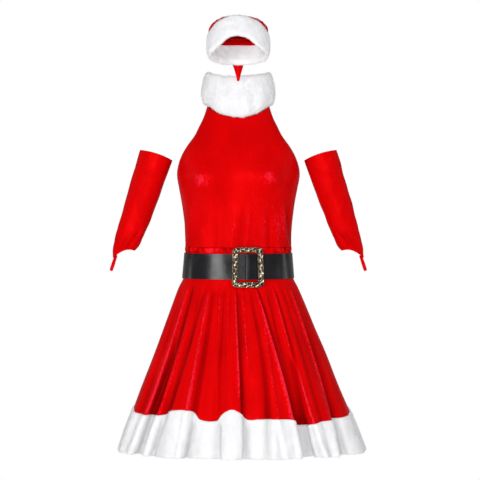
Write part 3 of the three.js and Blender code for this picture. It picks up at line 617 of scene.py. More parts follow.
def apply_modifier(piece, kind, **settings):
    """Adds a modifier to a piece and applies it."""
    choose(piece)
    added = piece.modifiers.new(kind, kind)
    for name, value in settings.items():
        setattr(added, name, value)
    bpy.ops.object.modifier_apply(modifier=added.name)


def thicken(piece, cloth, offset=-1):
    """Gives a sheet its thickness in millimetres, inwards from its outer face."""
    apply_modifier(piece, "SOLIDIFY", thickness=cloth * 0.001, offset=offset)


def edit(piece, work):
    """Does work on all of a piece in edit mode."""
    choose(piece)
    bpy.ops.object.mode_set(mode="EDIT")
    bpy.ops.mesh.select_all(action="SELECT")
    work()
    bpy.ops.object.mode_set(mode="OBJECT")


def smoothed(piece, angle):
    """Turns a piece's faces outwards and smooths its edges, apart from those over an angle."""
    edit(piece, lambda: bpy.ops.mesh.normals_make_consistent(inside=False))
    bpy.ops.object.shade_smooth_by_angle(angle=math.radians(angle))


def velvet_sheet(name, points, ridge, nodes, closed=False, pole=False):
    """A velvet piece over a grid of its outer face. pole joins the points at its last row."""
    piece = keep(grid_mesh(name, points, closed), velvet_material(), nodes)
    # The ridge value, which the velvet's finish reads to paint shade in the creases and highlights on
    # the ridges
    mark(piece.data, "ridge", np.clip(ridge, -1, 1))
    if pole:
        edit(piece, lambda: bpy.ops.mesh.remove_doubles(threshold=1e-6))
    thicken(piece, VELVET)
    return piece


def pile_on(name, points, normals, density, seed, closed=False, ring=False, comb=(0, 0, -0.5),
            reach=1.0, weight=1.0, ridge=0.0):
    """Plush pile as one mesh of fine leaning blades over a grid of points in millimetres."""
    rng = np.random.default_rng(seed)
    flat = points.shape[:2] + (1,)
    grids = [points, normals, np.broadcast_to(np.asarray(weight, float)[..., None], flat),
             np.broadcast_to(np.asarray(ridge, float)[..., None], flat)]
    if closed:
        grids = [np.concatenate([g, g[:1]], 0) for g in grids]
    if ring:
        grids = [np.concatenate([g, g[:, :1]], 1) for g in grids]
    points, normals, weight, ridge = grids
    a, b, c = points[:-1, :-1], points[1:, :-1], points[:-1, 1:]
    area = np.linalg.norm(np.cross(b - a, c - a), axis=-1) * weight[:-1, :-1, 0]
    count = int(density * area.sum())
    cell = rng.choice(area.size, count, p=(area / area.sum()).ravel())
    i, j = np.unravel_index(cell, area.shape)
    s, t = rng.random((2, count, 1))

    def at(grid):
        near, far = (lerp(grid[i, j + k], grid[i + 1, j + k], s) for k in (0, 1))
        return lerp(near, far, t)

    root, normal = at(points), unit(at(normals))
    length = bpy.context.scene.costume_looks.pile * 1000 * reach
    length = length * rng.uniform(BLADE["shortest"], 1.0, (count, 1))
    lean = np.zeros((count, 3)) + comb
    for kind, (wave, share) in enumerate(TUFTS):
        for k in range(3):
            lean[:, k] += ripple(root, wave, seed + 3 * kind + k + 1) * share
    lean += rng.normal(size=(count, 3)) * BLADE["stray"]
    lean = unit(lean - normal * (lean * normal).sum(-1, keepdims=True))
    upright = rng.uniform(BLADE["flat"], BLADE["upright"], (count, 1))
    upright += (rng.random((count, 1)) < BLADE["standing"]) * BLADE["raised"]
    way = unit(normal * upright + lean)
    # Each blade lies with its face outwards, a little turned
    side = np.cross(way, normal + rng.normal(size=(count, 3)) * BLADE["turned"])
    side = unit(side) * rng.uniform(BLADE["thin"], BLADE["thick"], (count, 1))
    foot = root - normal * BLADE["rooted"]
    tip = foot + way * length
    facing = (np.cross(side, way) * normal).sum(-1, keepdims=True)
    side = np.where(facing < 0, -side, side)
    vertices = np.stack([foot - side, foot + side, tip], 1).reshape(-1, 3)
    faces = np.arange(3 * count).reshape(-1, 3)
    mesh = mesh_from(name, vertices, faces)
    # The ridge value under each blade, which the plush's finish reads to paint shade in the folds
    mark(mesh, "ridge", np.repeat(at(ridge), 3))
    soft = unit(np.repeat(normal, 3, 0) + rng.normal(size=(3 * count, 3)) * BLADE["soft"])
    mesh.normals_split_custom_set_from_vertices(soft.astype(np.float32))
    return keep(mesh, plush_material())


def stitches(name, paths, pitch=3.2):
    """Rows of small stitches as one mesh, along paths of points and normals in millimetres."""
    stitch = np.array([
        (-1.1, 0, 0), (0, 0.3, 0.1), (1.1, 0, 0), (0, -0.3, 0.1), (0, 0, 0.4), (0, 0, -0.5)])
    sides = np.array([
        (0, 3, 4), (3, 2, 4), (2, 1, 4), (1, 0, 4), (3, 0, 5), (2, 3, 5), (1, 2, 5), (0, 1, 5)])
    placed = []
    for points, normals in paths:
        length = arc_lengths(points, 0)
        at = np.arange(pitch / 2, length[-1], pitch)
        centre, normal, ahead = (
            np.stack([np.interp(at, length, rows[:, k]) for k in range(3)], -1)
            for rows in (points, normals, np.gradient(points, axis=0)))
        ahead = unit(ahead)
        across = unit(np.cross(normal, ahead))
        ways = np.stack([ahead, across, normal], 1)
        placed.append(stitch @ ways + centre[:, None])
    placed = np.concatenate(placed)
    faces = (sides[None] + 6 * np.arange(len(placed))[:, None, None]).reshape(-1, 3)
    mesh = mesh_from(name, placed.reshape(-1, 3), faces)
    # A fixed ridge value gives the stitches a mottled painted highlight
    mark(mesh, "ridge", np.full(6 * len(placed), 0.25))
    return keep(mesh, velvet_material())


def set_values(tree, node, values):
    """Sets a node's values by socket name, or joins them to the nodes that give them."""
    for name, value in values.items():
        if hasattr(value, "is_output"):
            tree.links.new(value, node.inputs[name])
        else:
            node.inputs[name].default_value = value


def nodes_of(tree):
    """A function that adds nodes to a tree with their settings and values."""
    def add(kind, values=None, **settings):
        node = tree.nodes.new(kind)
        for name, value in settings.items():
            setattr(node, name, value)
        set_values(tree, node, values or {})
        return node
    return add


def ranged(add, value, start=0.0, stop=1.0, low=0.0, high=1.0, **settings):
    """A shader value moved from one range to another."""
    ends = {"From Min": start, "From Max": stop, "To Min": low, "To Max": high}
    return add("ShaderNodeMapRange", {"Value": value, **ends}, **settings).outputs["Result"]


def mixed(add, share, first, second, **settings):
    """Two shader colours mixed by a share."""
    return add("ShaderNodeMix", {"Factor": share, "A": first, "B": second}, data_type="RGBA",
               **settings).outputs["Result"]


def maths(add, operation, *values):
    return add("ShaderNodeMath", dict(enumerate(values)), operation=operation).outputs["Value"]


def bumped(add, height, strength, distance):
    return add("ShaderNodeBump", {
        "Height": height, "Strength": strength, "Distance": distance}).outputs["Normal"]


def opaque(colour, share=1.0):
    """A panel's colour as a shader takes it, lighter or darker by a share."""
    return tuple(share * value for value in colour) + (1,)


def made_once(store, name):
    """Makes a material or a node group the first time, and finds it from then on."""
    def wrap(make):
        return lambda: getattr(bpy.data, store).get(name) or make(name)
    return wrap


def new_group(name, inputs, outputs):
    """A node group, the function that adds nodes to it, and what it is given."""
    tree = bpy.data.node_groups.new(name, "ShaderNodeTree")
    for key, value in inputs.items():
        kind = "NodeSocketVector" if key == "Vector" else "NodeSocketFloat"
        tree.interface.new_socket(key, in_out="INPUT", socket_type=kind).default_value = value
    for key in outputs:
        tree.interface.new_socket(key, in_out="OUTPUT", socket_type="NodeSocketFloat")
    add = nodes_of(tree)
    return tree, add, add("NodeGroupInput").outputs


def grouped(add, group, **values):
    """The outputs of a node group with its values."""
    return add("ShaderNodeGroup", values, node_tree=group).outputs


def place_on(add):
    return add("ShaderNodeTexCoord").outputs["Object"]


@made_once("node_groups", "Cloth nap")
def nap_group(name):
    """Uneven tone and fine grain of a napped cloth, shared by the velvet and the plush."""
    tree, add, given = new_group(
        name, {"Vector": (0, 0, 0), "Patches": 24.0, "Grain": 900.0}, ("Tone", "Fine", "Height"))
    hang = add("ShaderNodeMapping", {"Vector": given["Vector"], "Scale": (1.0, 1.0, 0.38)})
    patches, grain = (
        add("ShaderNodeTexNoise", {
            "Vector": hang.outputs["Vector"], "Scale": given[key], "Detail": detail,
            "Roughness": rough, "Distortion": twist}).outputs["Fac"]
        for key, detail, rough, twist in (("Patches", 4.0, 0.58, 0.7), ("Grain", 2.0, 0.6, 0.0)))
    add("NodeGroupOutput", {
        "Tone": ranged(add, patches, 0.34, 0.66), "Fine": ranged(add, grain, 0.32, 0.68),
        "Height": maths(add, "ADD", patches, maths(add, "MULTIPLY", grain, 0.72))})
    return tree


@made_once("node_groups", "Fold shade")
def fold_group(name):
    """Painted shade in the folds and a painted highlight on their ridges, shared by the velvet and the
    plush.
    """
    tree, add, given = new_group(name, {"Mottle": 0.5}, ("Shade", "Shine"))
    ridge = add("ShaderNodeAttribute", attribute_name="ridge").outputs["Fac"]
    mottled = maths(add, "ADD", ridge, maths(add, "MULTIPLY_ADD", given["Mottle"], 0.9, -0.45))
    # Shade is painted shade where the ridge value lies in a crease; Shine is a painted highlight where
    # it stands high, made uneven by the mottle
    add("NodeGroupOutput", {
        "Shade": ranged(add, ridge, -1.0, 0.05, interpolation_type="SMOOTHSTEP"),
        "Shine": ranged(add, mottled, 0.4, 1.05)})
    return tree


@made_once("node_groups", "Surface wear")
def wear_group(name):
    """Worn and dulled places of a smooth finish, shared by the strap and the metal."""
    tree, add, given = new_group(
        name, {"Vector": (0, 0, 0), "Clouds": 30.0, "Grain": 600.0}, ("Worn", "Grain"))
    clouds = add("ShaderNodeTexNoise", {
        "Vector": given["Vector"], "Scale": given["Clouds"], "Detail": 3.0})
    cells = add("ShaderNodeTexVoronoi", {"Vector": given["Vector"], "Scale": given["Grain"]})
    add("NodeGroupOutput", {
        "Worn": ranged(add, clouds.outputs["Fac"], 0.35, 0.68), "Grain": cells.outputs["Distance"]})
    return tree


def new_material(name):
    """A material, the function that adds nodes to it, and the costume's colours."""
    material = bpy.data.materials.new(name)
    material.use_nodes = True
    return material, nodes_of(material.node_tree), bpy.context.scene.costume_looks


def finished(material, values):
    """Gives a material's shader its values."""
    tree = material.node_tree
    set_values(tree, tree.nodes["Principled BSDF"], values)
    return material


def darkened(add, base, shade, lowest):
    """A cloth's colour darkened in its folds by painted shade."""
    return mixed(add, 1.0, base, ranged(add, shade, low=lowest), blend_type="MULTIPLY")


@made_once("materials", "Red velvet")
def velvet_material(name):
    material, add, looks = new_material(name)
    nap = grouped(add, nap_group(), Vector=place_on(add), Patches=21.0, Grain=330.0)
    fold = grouped(add, fold_group(), Mottle=nap["Fine"])
    base = mixed(add, ranged(add, nap["Tone"], low=0.66), opaque(looks.velvet_deep),
                 opaque(looks.velvet))
    # Painted shade: the velvet darkened where the ridge value lies in a crease
    folded = darkened(add, base, fold["Shade"], 0.44)
    # Painted highlight: a share of the highlight colour mixed in along the ridges
    shine = maths(add, "MULTIPLY", fold["Shine"], 0.62)
    return finished(material, {
        "Base Color": mixed(add, shine, folded, opaque(looks.velvet_painted_highlight)),
        "Roughness": ranged(add, nap["Tone"], low=0.54, high=0.36),
        "Normal": bumped(add, nap["Height"], 0.30, 0.0011), "Metallic": 0.07,
        "Specular IOR Level": 0.03, "Specular Tint": (1.0, 0.3, 0.3, 1), "Sheen Weight": 0.10,
        "Sheen Roughness": 0.28, "Sheen Tint": (1.0, 0.05, 0.10, 1)})


@made_once("materials", "White plush")
def plush_material(name):
    material, add, looks = new_material(name)
    nap = grouped(add, nap_group(), Vector=place_on(add), Patches=60.0, Grain=520.0)
    fold = grouped(add, fold_group())
    base = mixed(add, nap["Tone"], opaque(looks.plush, 0.93), opaque(looks.plush))
    # Painted shade: the plush darkened where the ridge value lies in a fold
    folded = darkened(add, base, fold["Shade"], 0.86)
    # Painted glow: the plush emits its own colour, which lifts its shaded places
    return finished(material, {
        "Base Color": folded, "Emission Color": folded, "Emission Strength": 0.33,
        "Normal": bumped(add, nap["Height"], 0.35, 0.0014), "Roughness": 0.92,
        "Specular IOR Level": 0.12, "Sheen Weight": 0.25, "Sheen Roughness": 0.5})


@made_once("materials", "Black strap")
def strap_material(name):
    material, add, looks = new_material(name)
    wear = grouped(add, wear_group(), Vector=place_on(add), Clouds=26.0, Grain=780.0)
    return finished(material, {
        "Base Color": mixed(add, wear["Worn"], opaque(looks.strap), opaque(looks.strap, 1.7)),
        "Roughness": ranged(add, wear["Worn"], low=0.17, high=0.30),
        "Normal": bumped(add, wear["Grain"], 0.12, 0.0004), "Specular IOR Level": 0.42})


@made_once("materials", "Antique gold")
def gold_material(name):
    material, add, looks = new_material(name)
    wear = grouped(add, wear_group(), Vector=place_on(add), Clouds=140.0, Grain=330.0)
    relief = add("ShaderNodeAttribute", attribute_name="relief").outputs["Fac"]
    smooth = maths(add, "SUBTRACT", relief, maths(add, "MULTIPLY", wear["Worn"], 0.35))
    pits = maths(add, "MULTIPLY_ADD", wear["Grain"], 0.9, -0.45)
    mask = ranged(add, maths(add, "ADD", smooth, pits), 0.23, 0.53)
    return finished(material, {
        "Base Color": mixed(add, mask, opaque(looks.patina), opaque(looks.gold)),
        "Roughness": ranged(add, mask, low=0.50, high=0.18),
        "Normal": bumped(add, wear["Grain"], 0.40, 0.0005), "Metallic": 0.93})


class COSTUME_OT_collar(bpy.types.Operator):
    """Makes the tall plush collar, folded over at its top"""

    bl_idname = "costume.collar"
    bl_label = "Plush collar"

    def execute(self, context):
        angle = np.linspace(179.8, -179.8, 150)[:, None]
        rise, out = section_at(COLLAR_BACKING, 46)
        s, c = np.sin(np.radians(angle)), np.cos(np.radians(angle))
        front = c > 0
        deep_seam = np.where(front, COLLAR["front_seam"], COLLAR["back_seam"])
        deep_top = np.where(front, COLLAR["front_top"], COLLAR["back_top"])
        x = lerp(COLLAR["half_seam"], COLLAR["half_top"], rise) * s
        y = -lerp(deep_seam, deep_top, rise) * c
        size = np.hypot(s / COLLAR["half_seam"], c / deep_seam)
        x, y = x + out * s / COLLAR["half_seam"] / size, y - out * c / deep_seam / size
        z = lerp(collar_seam(x, front), collar_top(x, front), rise) + 1.6 * ease(out / 6)
        points = np.stack([x, y, z], -1)
        uneven = ripple(points, 62, 31) * 0.9 + ripple(points, 24, 32) * 0.35
        depth = np.where(out > 0, dents(COLLAR_DENTS, angle, rise), 0) + uneven
        depth = depth + dents(COLLAR_NOTCH, angle, rise)
        points = points + normals_of(points) * depth[..., None]
        backing = keep(grid_mesh("collar_backing", points), plush_material(), ("collar",))
        thicken(backing, PLUSH_BACKING)
        columns, rows = depth.shape
        weight = np.where(np.linspace(0, 1, rows) < 0.62, 1.0, 0.35) * np.ones((columns, 1))
        pile = pile_on("collar_pile", points, normals_of(points), density=1.6, seed=101,
                       comb=(0, 0, -0.25), reach=0.9, weight=weight)
        return {"FINISHED"}


class COSTUME_OT_bodice(bpy.types.Operator):
    """Makes the halter front and the two backs of the bodice"""

    bl_idname = "costume.bodice"
    bl_label = "Bodice"

    def panel(self, node, front, start, stop, columns, drapes, flat):
        """One panel, from one angle across to another, with its armhole's row of stitches."""
        across = near_edges(start, stop, columns, 1.6)
        down = np.unique(np.concatenate([np.linspace(0, 1, 84), [0.002, 0.004, 0.996, 0.998]]))
        points = bodice_points(front, across, down)
        normals = normals_of(points)
        x, z = points[..., 0], points[..., 2]
        crease = bpy.context.scene.costume_looks.crease
        depth = drape_depth(points, drapes, True) * crease
        above = np.clip((z - BODICE_HEM) / 34, 0, 1)
        angle = np.degrees(np.arctan2(x, -points[..., 1]))
        gather = np.cos(np.radians(angle * PUCKERS["count"])) * (0.7 + 0.4 * ripple(points, 60, 12))
        depth += gather * 1.1 * (1 - above) ** 2 * ease(above * 8)
        depth += ripple(points, 120, 11) * 0.7 * ease((UNDERARM + 60 - z) / 60) * ease(above)
        # The cloth turns in a little at its seams and its armhole edges
        far = np.minimum(across - across[0], across[-1] - across)[:, None] * DEGREE["bodice"]
        depth -= 0.7 * np.exp(-far / 1.3)
        armhole = ease((z - UNDERARM + 4) / 14)
        turned = 0.35 * ease(far / 2) * (1 - ease((far - 7) / 3))
        depth += (turned - 0.3 * bell((far - STITCHED["armhole"]) / 1.1)) * armhole
        points = points + normals * depth[..., None]
        # The ridge value paints shade in the drapes' creases and highlights on their ridges, fading at
        # the seams; the front adds painted highlights at the bust and along its sides
        ridge = ridge_of(depth) * ease(far / 6)
        if front:
            ridge = ridge + drape_depth(points, BODICE_PAINTED_HIGHLIGHTS, False)
        points, ridge = (g if front else g[::-1] for g in (points, ridge))
        piece = velvet_sheet(node + "_cloth", points, ridge, (node,))
        outward, rows = normals_of(points), points[0, :, 2] > UNDERARM + 7
        inset = int(np.abs(far[:len(far) // 2, 0] - STITCHED["armhole"]).argmin())
        armholes = {"bodice_front": (inset, -1 - inset), "bodice_back_left": (-1 - inset,),
                    "bodice_back_right": (inset,)}[node]
        sewn = stitches(node + "_stitches", [(points[k, rows], outward[k, rows]) for k in armholes])

    def execute(self, context):
        back = {"front": False, "columns": 66, "drapes": BACK_DRAPES, "flat": (0.18, 0.345)}
        self.panel("bodice_front", True, -90, 90, 132, FRONT_DRAPES, (0.40, 0.34))
        self.panel("bodice_back_left", start=-90, stop=-0.12, **back)
        self.panel("bodice_back_right", start=0.12, stop=90, **back)
        return {"FINISHED"}


class COSTUME_OT_casing(bpy.types.Operator):
    """Makes the puckered waist casing, most of which the belt hides"""

    bl_idname = "costume.casing"
    bl_label = "Waist casing"

    def execute(self, context):
        angle = np.linspace(-180, 180, 400, endpoint=False)[:, None]
        z = np.array(CASING_ROWS)[None]
        full = np.clip((z - PUCKERS["bottom"]) / (PUCKERS["fullest"] - PUCKERS["bottom"]), 0, 1)
        jitter = np.sin(np.radians(angle * 3 + 40)) * 3.2 + np.sin(np.radians(angle * 7)) * 1.8
        wave = np.cos(np.radians((angle + jitter) * PUCKERS["count"]))
        uneven = 0.75 + 0.35 * np.sin(np.radians(angle * 5 + 20)) * np.sin(np.radians(angle * 11))
        out = (np.maximum(wave, -0.35) * PUCKERS["out"] * uneven + 0.3) * full
        out = out - 0.8 * bell((z - CASING_ROWS[0]) / 1.2)
        points = figure(angle, z, out)
        # Painted shade in the hollows of the puckers and painted highlight on their tops, made uneven
        # by a ripple
        ridge = (out - 0.4) / 4 + 0.5 * ripple(points, 26, 13) * ease(full * 3)
        piece = velvet_sheet("waist_casing_cloth", points, ridge, ("waist_casing",), closed=True)
        return {"FINISHED"}


class COSTUME_OT_skirt(bpy.types.Operator):
    """Makes the front and the back of the folded skirt"""

    bl_idname = "costume.skirt"
    bl_label = "Skirt"

    def execute(self, context):
        for node, middle, columns, rows, creases in (
            ("skirt_front", 0, 320, 66, FRONT_CREASES), ("skirt_back", 180, 220, 52, BACK_CREASES),
        ):
            half = 90 - SIDE_GAP
            angle = near_edges(middle - half, middle + half, columns, 0.7)
            points, depth = skirt_points(angle[:, None], rows, creases, middle > 0)
            far = np.minimum(angle - angle[0], angle[-1] - angle)[:, None] * DEGREE["skirt"]
            points = points - normals_of(points) * (0.7 * np.exp(-far / 1.5))[..., None]
            # The ridge value paints shade in the creases and highlights on the ridges
            piece = velvet_sheet(node + "_cloth", points, ridge_of(depth), (node,))
        return {"FINISHED"}


def skirt_points(angle, rows, creases, back):
    """The skirt's outer face. Its first rows are behind the belt, its last is at the hem band."""
    shown = BELT_BOTTOM - 0.5
    behind = np.linspace(CASING_HEM - SEAM_GAP, shown, 7)[:-1] + 0 * angle
    share = np.linspace(0, 1, rows)[None] ** 1.08
    z = np.concatenate([behind, lerp(shown, trim_seam(angle), share)], 1)
    return creased(angle, z, creases, back)


def creased(angle, z, creases, back):
    """The skirt's surface with its main folds, gathers and finer creases."""
    looks = bpy.context.scene.costume_looks
    uneven = 0.16 + 0.20 * np.sin(np.radians(angle * 3 + 50)) * np.sin(np.radians(angle * 5 - 20))
    points = figure(angle, z, fold_at(angle, z, uneven))
    drop = BELT_BOTTOM - z
    fade = ease(drop / 26)
    depth = crease_depth(points, creases, back) * looks.crease * fade
    small = np.cos(np.radians(angle * 43 + 60 * np.sin(np.radians(angle * 3))))
    depth += small * 0.5 * fade * np.clip(1 - drop / 60, 0, 1)
    depth += ripple(points * [1, 1, 0.25], 70, 21) * 0.8 * ease(drop / 160)
    return points + level_normals(points) * depth[..., None], depth


class COSTUME_OT_hem_band(bpy.types.Operator):
    """Makes the two lengths of the plush hem band, folded round the skirt's edge"""

    bl_idname = "costume.hem_band"
    bl_label = "Plush hem band"

    def execute(self, context):
        down, out = section_at(HEM_SECTION, 30)
        share = np.linspace(0, 1, 30)
        for node, middle, seed, creases in (
            ("hem_band_front", 0, 140, FRONT_CREASES), ("hem_band_back", 180, 141, BACK_CREASES),
        ):
            half = 90 - math.degrees(0.1 / 520)
            angle = np.linspace(middle - half, middle + half, 260)[:, None]
            z = lerp(trim_seam(angle) - 2 * SEAM_GAP, HEM, down)
            points, depth = creased(angle, z, creases, middle > 0)
            uneven = ripple(points, 40, 41) * 0.45
            outer = out + np.where(out > -1.6, uneven, -uneven)
            points = points + level_normals(points) * outer[..., None]
            backing = keep(grid_mesh(node + "_backing", points), plush_material(), (node,))
            # Painted shade in the band's folds, from the depth of the skirt's creases
            mark(backing.data, "ridge", depth / 9)
            thicken(backing, BAND_BACKING)
            weight = np.where(share < 0.60, ease(share / 0.07) + 0.15, 0.22) + 0 * angle
            # The pile gets the same painted shade
            pile = pile_on(node + "_pile", points, normals_of(points), density=1.0, seed=seed,
                           comb=(0, 0, -1.1), reach=0.8, weight=weight, ridge=depth / 9)
        return {"FINISHED"}


def waist_lengths():
    """Angles round the waist, and the lengths of cloth from the front centre to them."""
    angle = np.linspace(-180, 180, 1441)
    length = arc_lengths(figure(angle, BELT_MIDDLE), 0)
    return angle, length - length[len(length) // 2]


WAIST_ANGLE, WAIST_LENGTH = waist_lengths()
WAIST_AROUND = WAIST_LENGTH[-1] - WAIST_LENGTH[0]


def bed(across, out, z):
    """Points off the straight bed of the belt, by distance across the front, out and height."""
    wrapped = (across + WAIST_AROUND / 2) % WAIST_AROUND - WAIST_AROUND / 2
    angle = np.interp(wrapped, WAIST_LENGTH, WAIST_ANGLE)
    share = ((BELT_TOP - z) / (BELT_TOP - BELT_BOTTOM))[..., None]
    return lerp(figure(angle, BELT_TOP, out), figure(angle, BELT_BOTTOM, out), share)


def belt_path():
    """The strap's middle line, across and out: the returned end, the fold, the waist, the tail."""
    bar, tail = BELT["bar_across"], BELT["tail"]
    first, second, top = STRAP_BASE + STRAP_LAYER, STRAP_BASE + 2 * STRAP_LAYER, BAR_OUT + BAR_BEND
    path = [(across, first) for across in (BELT["returned"], 38, bar + 12, bar + 6, bar + 2)]
    path += [(bar + BAR_BEND * math.cos(turn), BAR_OUT + BAR_BEND * math.sin(turn))
             for turn in np.radians(np.linspace(-90, -270, 17))]
    path += [(bar + 4, top), (bar + 8, top - 0.5), (bar + 13, lerp(top, second, 0.7)),
             (bar + 19, second + 0.3)]
    # Over the tail the strap comes down layer by layer to its bed
    path += [(across, STRAP_BASE + layers * STRAP_LAYER) for across, layers in
             ((48, 2), (58, 1.6), (tail, 1.1), (tail + 8, 0.8), (tail + 20, 0.1))]
    path += [(across, STRAP_BASE) for across in np.linspace(tail + 30, WAIST_AROUND + tail - 4, 90)]
    return np.array(path)


def primitive(kind, name, **settings):
    """Adds one of Blender's primitives with nothing else selected, and returns it."""
    bpy.ops.object.select_all(action="DESELECT")
    getattr(bpy.ops.mesh, f"primitive_{kind}_add")(**settings)
    piece = bpy.context.active_object
    piece.name = name
    return piece


def vertices_of(piece):
    found = np.empty(len(piece.data.vertices) * 3)
    piece.data.vertices.foreach_get("co", found)
    return found.reshape(-1, 3)


def reshape(piece, points):
    piece.data.vertices.foreach_set("co", points.astype(np.float32).ravel())
    piece.data.update()


class COSTUME_OT_belt(bpy.types.Operator):
    """Makes the strap: flat at first, then folded round the bar and laid round the waist"""

    bl_idname = "costume.belt"
    bl_label = "Belt strap"

    def execute(self, context):
        path = belt_path()
        length = arc_lengths(path, 0)
        last, half, step = len(path) - 1, (BELT_TOP - BELT_BOTTOM) / 2, 0.02
        strap = primitive("grid", "belt_strap_leather", x_subdivisions=4 * len(path),
                          y_subdivisions=10, size=2)
        thicken(strap, STRAP, offset=0)
        apply_modifier(strap, "BEVEL", width=0.0004, segments=2, limit_method="ANGLE")
        flat = vertices_of(strap)
        share = (np.clip(flat[:, 0], -1, 1) + 1) / 2 * last
        here, after, before = (
            np.stack([between(path[:, k], np.clip(share + way * step, 0, last)) for k in (0, 1)], -1)
            for way in (0, 1, -1))
        run = unit(after - before)
        shift = flat[:, 2] * 1000
        z = BELT_MIDDLE + np.clip(flat[:, 1], -1, 1) * half
        # Soft waves of the strap where it isn't held by the buckle
        free = ease((np.interp(share, np.arange(len(path)), length) - 110) / 60)
        sway = np.sin(here[:, 0] / 37 + 0.6) + 0.6 * np.sin(here[:, 0] / 15 + z / 21)
        out = here[:, 1] + run[:, 0] * shift + (0.28 * sway + 0.1) * free
        reshape(strap, bed(here[:, 0] - run[:, 1] * shift, out, z) * 0.001)
        smoothed(strap, 40)
        dress(strap, strap_material(), ("belt_strap",))
        return {"FINISHED"}


def outline(share, inset):
    """Places round the buckle's rounded outline, at a distance in from its edge."""
    half, tall = BUCKLE["width"] / 2 - inset, BUCKLE["tall"] / 2 - inset
    corner = max(BUCKLE["corner"] - inset, 2)
    places = [(0.0, tall)]
    for x, y, start in (
            (half, tall, 90), (half, -tall, 0), (-half, -tall, -90), (-half, tall, -180)):
        cx, cy = x - math.copysign(corner, x), y - math.copysign(corner, y)
        for turn in np.radians(np.linspace(start, start - 90, 9)):
            places.append((cx + corner * math.cos(turn), cy + corner * math.sin(turn)))
    places.append((0.0, tall))
    places = np.array(places)
    length = arc_lengths(places, 0)
    at = np.asarray(share) % 1 * length[-1]
    return np.stack([np.interp(at, length, places[:, k]) for k in (0, 1)], -1)


def on_buckle(flat):
    """Bows flat buckle points round the belt's bed: across, up, and out from its back."""
    wide = 1 - BUCKLE["wider_below"] * flat[:, 1] / BUCKLE["tall"]
    return bed(BUCKLE["across"] + flat[:, 0] * wide, BELT["clearance"] + BUCKLE["behind"] + flat[:, 2],
               BUCKLE["height"] + flat[:, 1])


class COSTUME_OT_buckle(bpy.types.Operator):
    """Makes the cast frame with its scroll and leaf relief, and its plain centre bar"""

    bl_idname = "costume.buckle"
    bl_label = "Buckle"

    def frame_body(self):
        """The flat frame in millimetres: inset, raised and rounded."""
        def cast():
            bpy.ops.transform.resize(value=(BUCKLE["width"], BUCKLE["tall"], 1))
            bpy.ops.mesh.bevel(offset=BUCKLE["corner"], offset_type="OFFSET", segments=7,
                               affect="VERTICES")
            bpy.ops.mesh.select_all(action="SELECT")
            bpy.ops.mesh.inset(thickness=BUCKLE["bar"], depth=0)
            bpy.ops.mesh.delete(type="FACE")
            bpy.ops.mesh.select_all(action="SELECT")
            bpy.ops.mesh.extrude_region_move(TRANSFORM_OT_translate={"value": (0, 0, FRAME_TOP)})
            bpy.ops.mesh.select_all(action="SELECT")
            bpy.ops.mesh.subdivide(number_cuts=2)
            bpy.ops.mesh.normals_make_consistent(inside=False)

        body = primitive("plane", "buckle_body", size=1)
        edit(body, cast)
        apply_modifier(body, "BEVEL", width=1.1, segments=3, limit_method="ANGLE")
        return body

    def relief_parts(self):
        """One curl, one leaf and one bead of the relief, in millimetres."""
        curl = primitive("torus", "curl", major_segments=12, minor_segments=5, major_radius=1.75,
                         minor_radius=0.72)
        leaf = primitive("uv_sphere", "leaf", segments=10, ring_count=6, radius=1)
        edit(leaf, lambda: bpy.ops.transform.resize(value=(2.6, 0.95, 1.1)))
        bead = primitive("ico_sphere", "bead", subdivisions=1, radius=0.82)
        return curl, leaf, bead

    def execute(self, context):
        body = self.frame_body()
        curl, leaf, bead = self.relief_parts()
        rng = np.random.default_rng(77)
        copies = []

        def put(part, share, inset, turn, grow, up):
            """Lays a copy of a part on the frame, at a share of the way round and in from its edge."""
            centre = outline(share, inset)
            ahead = outline(share + 0.004, inset) - outline(share - 0.004, inset)
            heading = math.atan2(ahead[1], ahead[0]) + math.radians(turn)
            points = vertices_of(part) * grow
            c, s = math.cos(heading), math.sin(heading)
            flat = np.stack([centre[0] + points[:, 0] * c - points[:, 1] * s,
                             centre[1] + points[:, 0] * s + points[:, 1] * c,
                             FRAME_TOP + up + points[:, 2]], -1)
            copy = bpy.data.objects.new(part.name, part.data.copy())
            context.scene.collection.objects.link(copy)
            reshape(copy, flat)
            copies.append(copy)

        for k in range(SCROLLS):
            way = 1 if k % 2 else -1
            grow, shift = rng.uniform(0.85, 1.15), rng.uniform(-0.5, 0.5)
            for part, along, inset, turn, size, up in (
                (curl, 0, shift - 1.9 * way, 0, grow, 0.35),
                (bead, 0, shift - 1.9 * way, 0, 1.0, 1.0),
                (leaf, 0.2, 2.1 * way, 62 * way + 20 * shift, 0.75 * grow, 0.4),
                (leaf, 0.6, 0.9 * way, 24 * way, 0.8 * grow, 0.4),
            ):
                put(part, (k + along) / SCROLLS, BAR_MIDDLE + inset, turn, size, up)
        for count, inset, size, up in EDGE_BEADS:
            for k in range(count):
                put(bead, k / count, inset, 0, size, up)
        choose(body)
        for copy in copies:
            copy.select_set(True)
        bpy.ops.object.join()
        for part in (curl, leaf, bead):
            bpy.data.objects.remove(part)
        flat = vertices_of(body)
        mark(body.data, "relief", np.clip((flat[:, 2] - FRAME_TOP) / 1.3, 0, 1))
        reshape(body, on_buckle(flat) * 0.001)
        smoothed(body, 50)
        body.name = "buckle_frame_cast"
        dress(body, gold_material(), ("buckle_frame",))

        reach = BUCKLE["tall"] / 2 - BUCKLE["bar"] * 0.45
        bar = primitive("cylinder", "buckle_bar_rod", vertices=20, radius=BELT["bar_radius"],
                        depth=2 * reach)
        apply_modifier(bar, "BEVEL", width=0.3, segments=2, limit_method="ANGLE")
        rod = vertices_of(bar)
        rod_points = bed(BELT["bar_across"] + rod[:, 0], BAR_OUT - rod[:, 1],
                         BUCKLE["height"] + rod[:, 2])
        reshape(bar, rod_points * 0.001)
        smoothed(bar, 40)
        mark(bar.data, "relief", np.full(len(rod), 0.2))
        dress(bar, gold_material(), ("buckle_bar",))
        return {"FINISHED"}


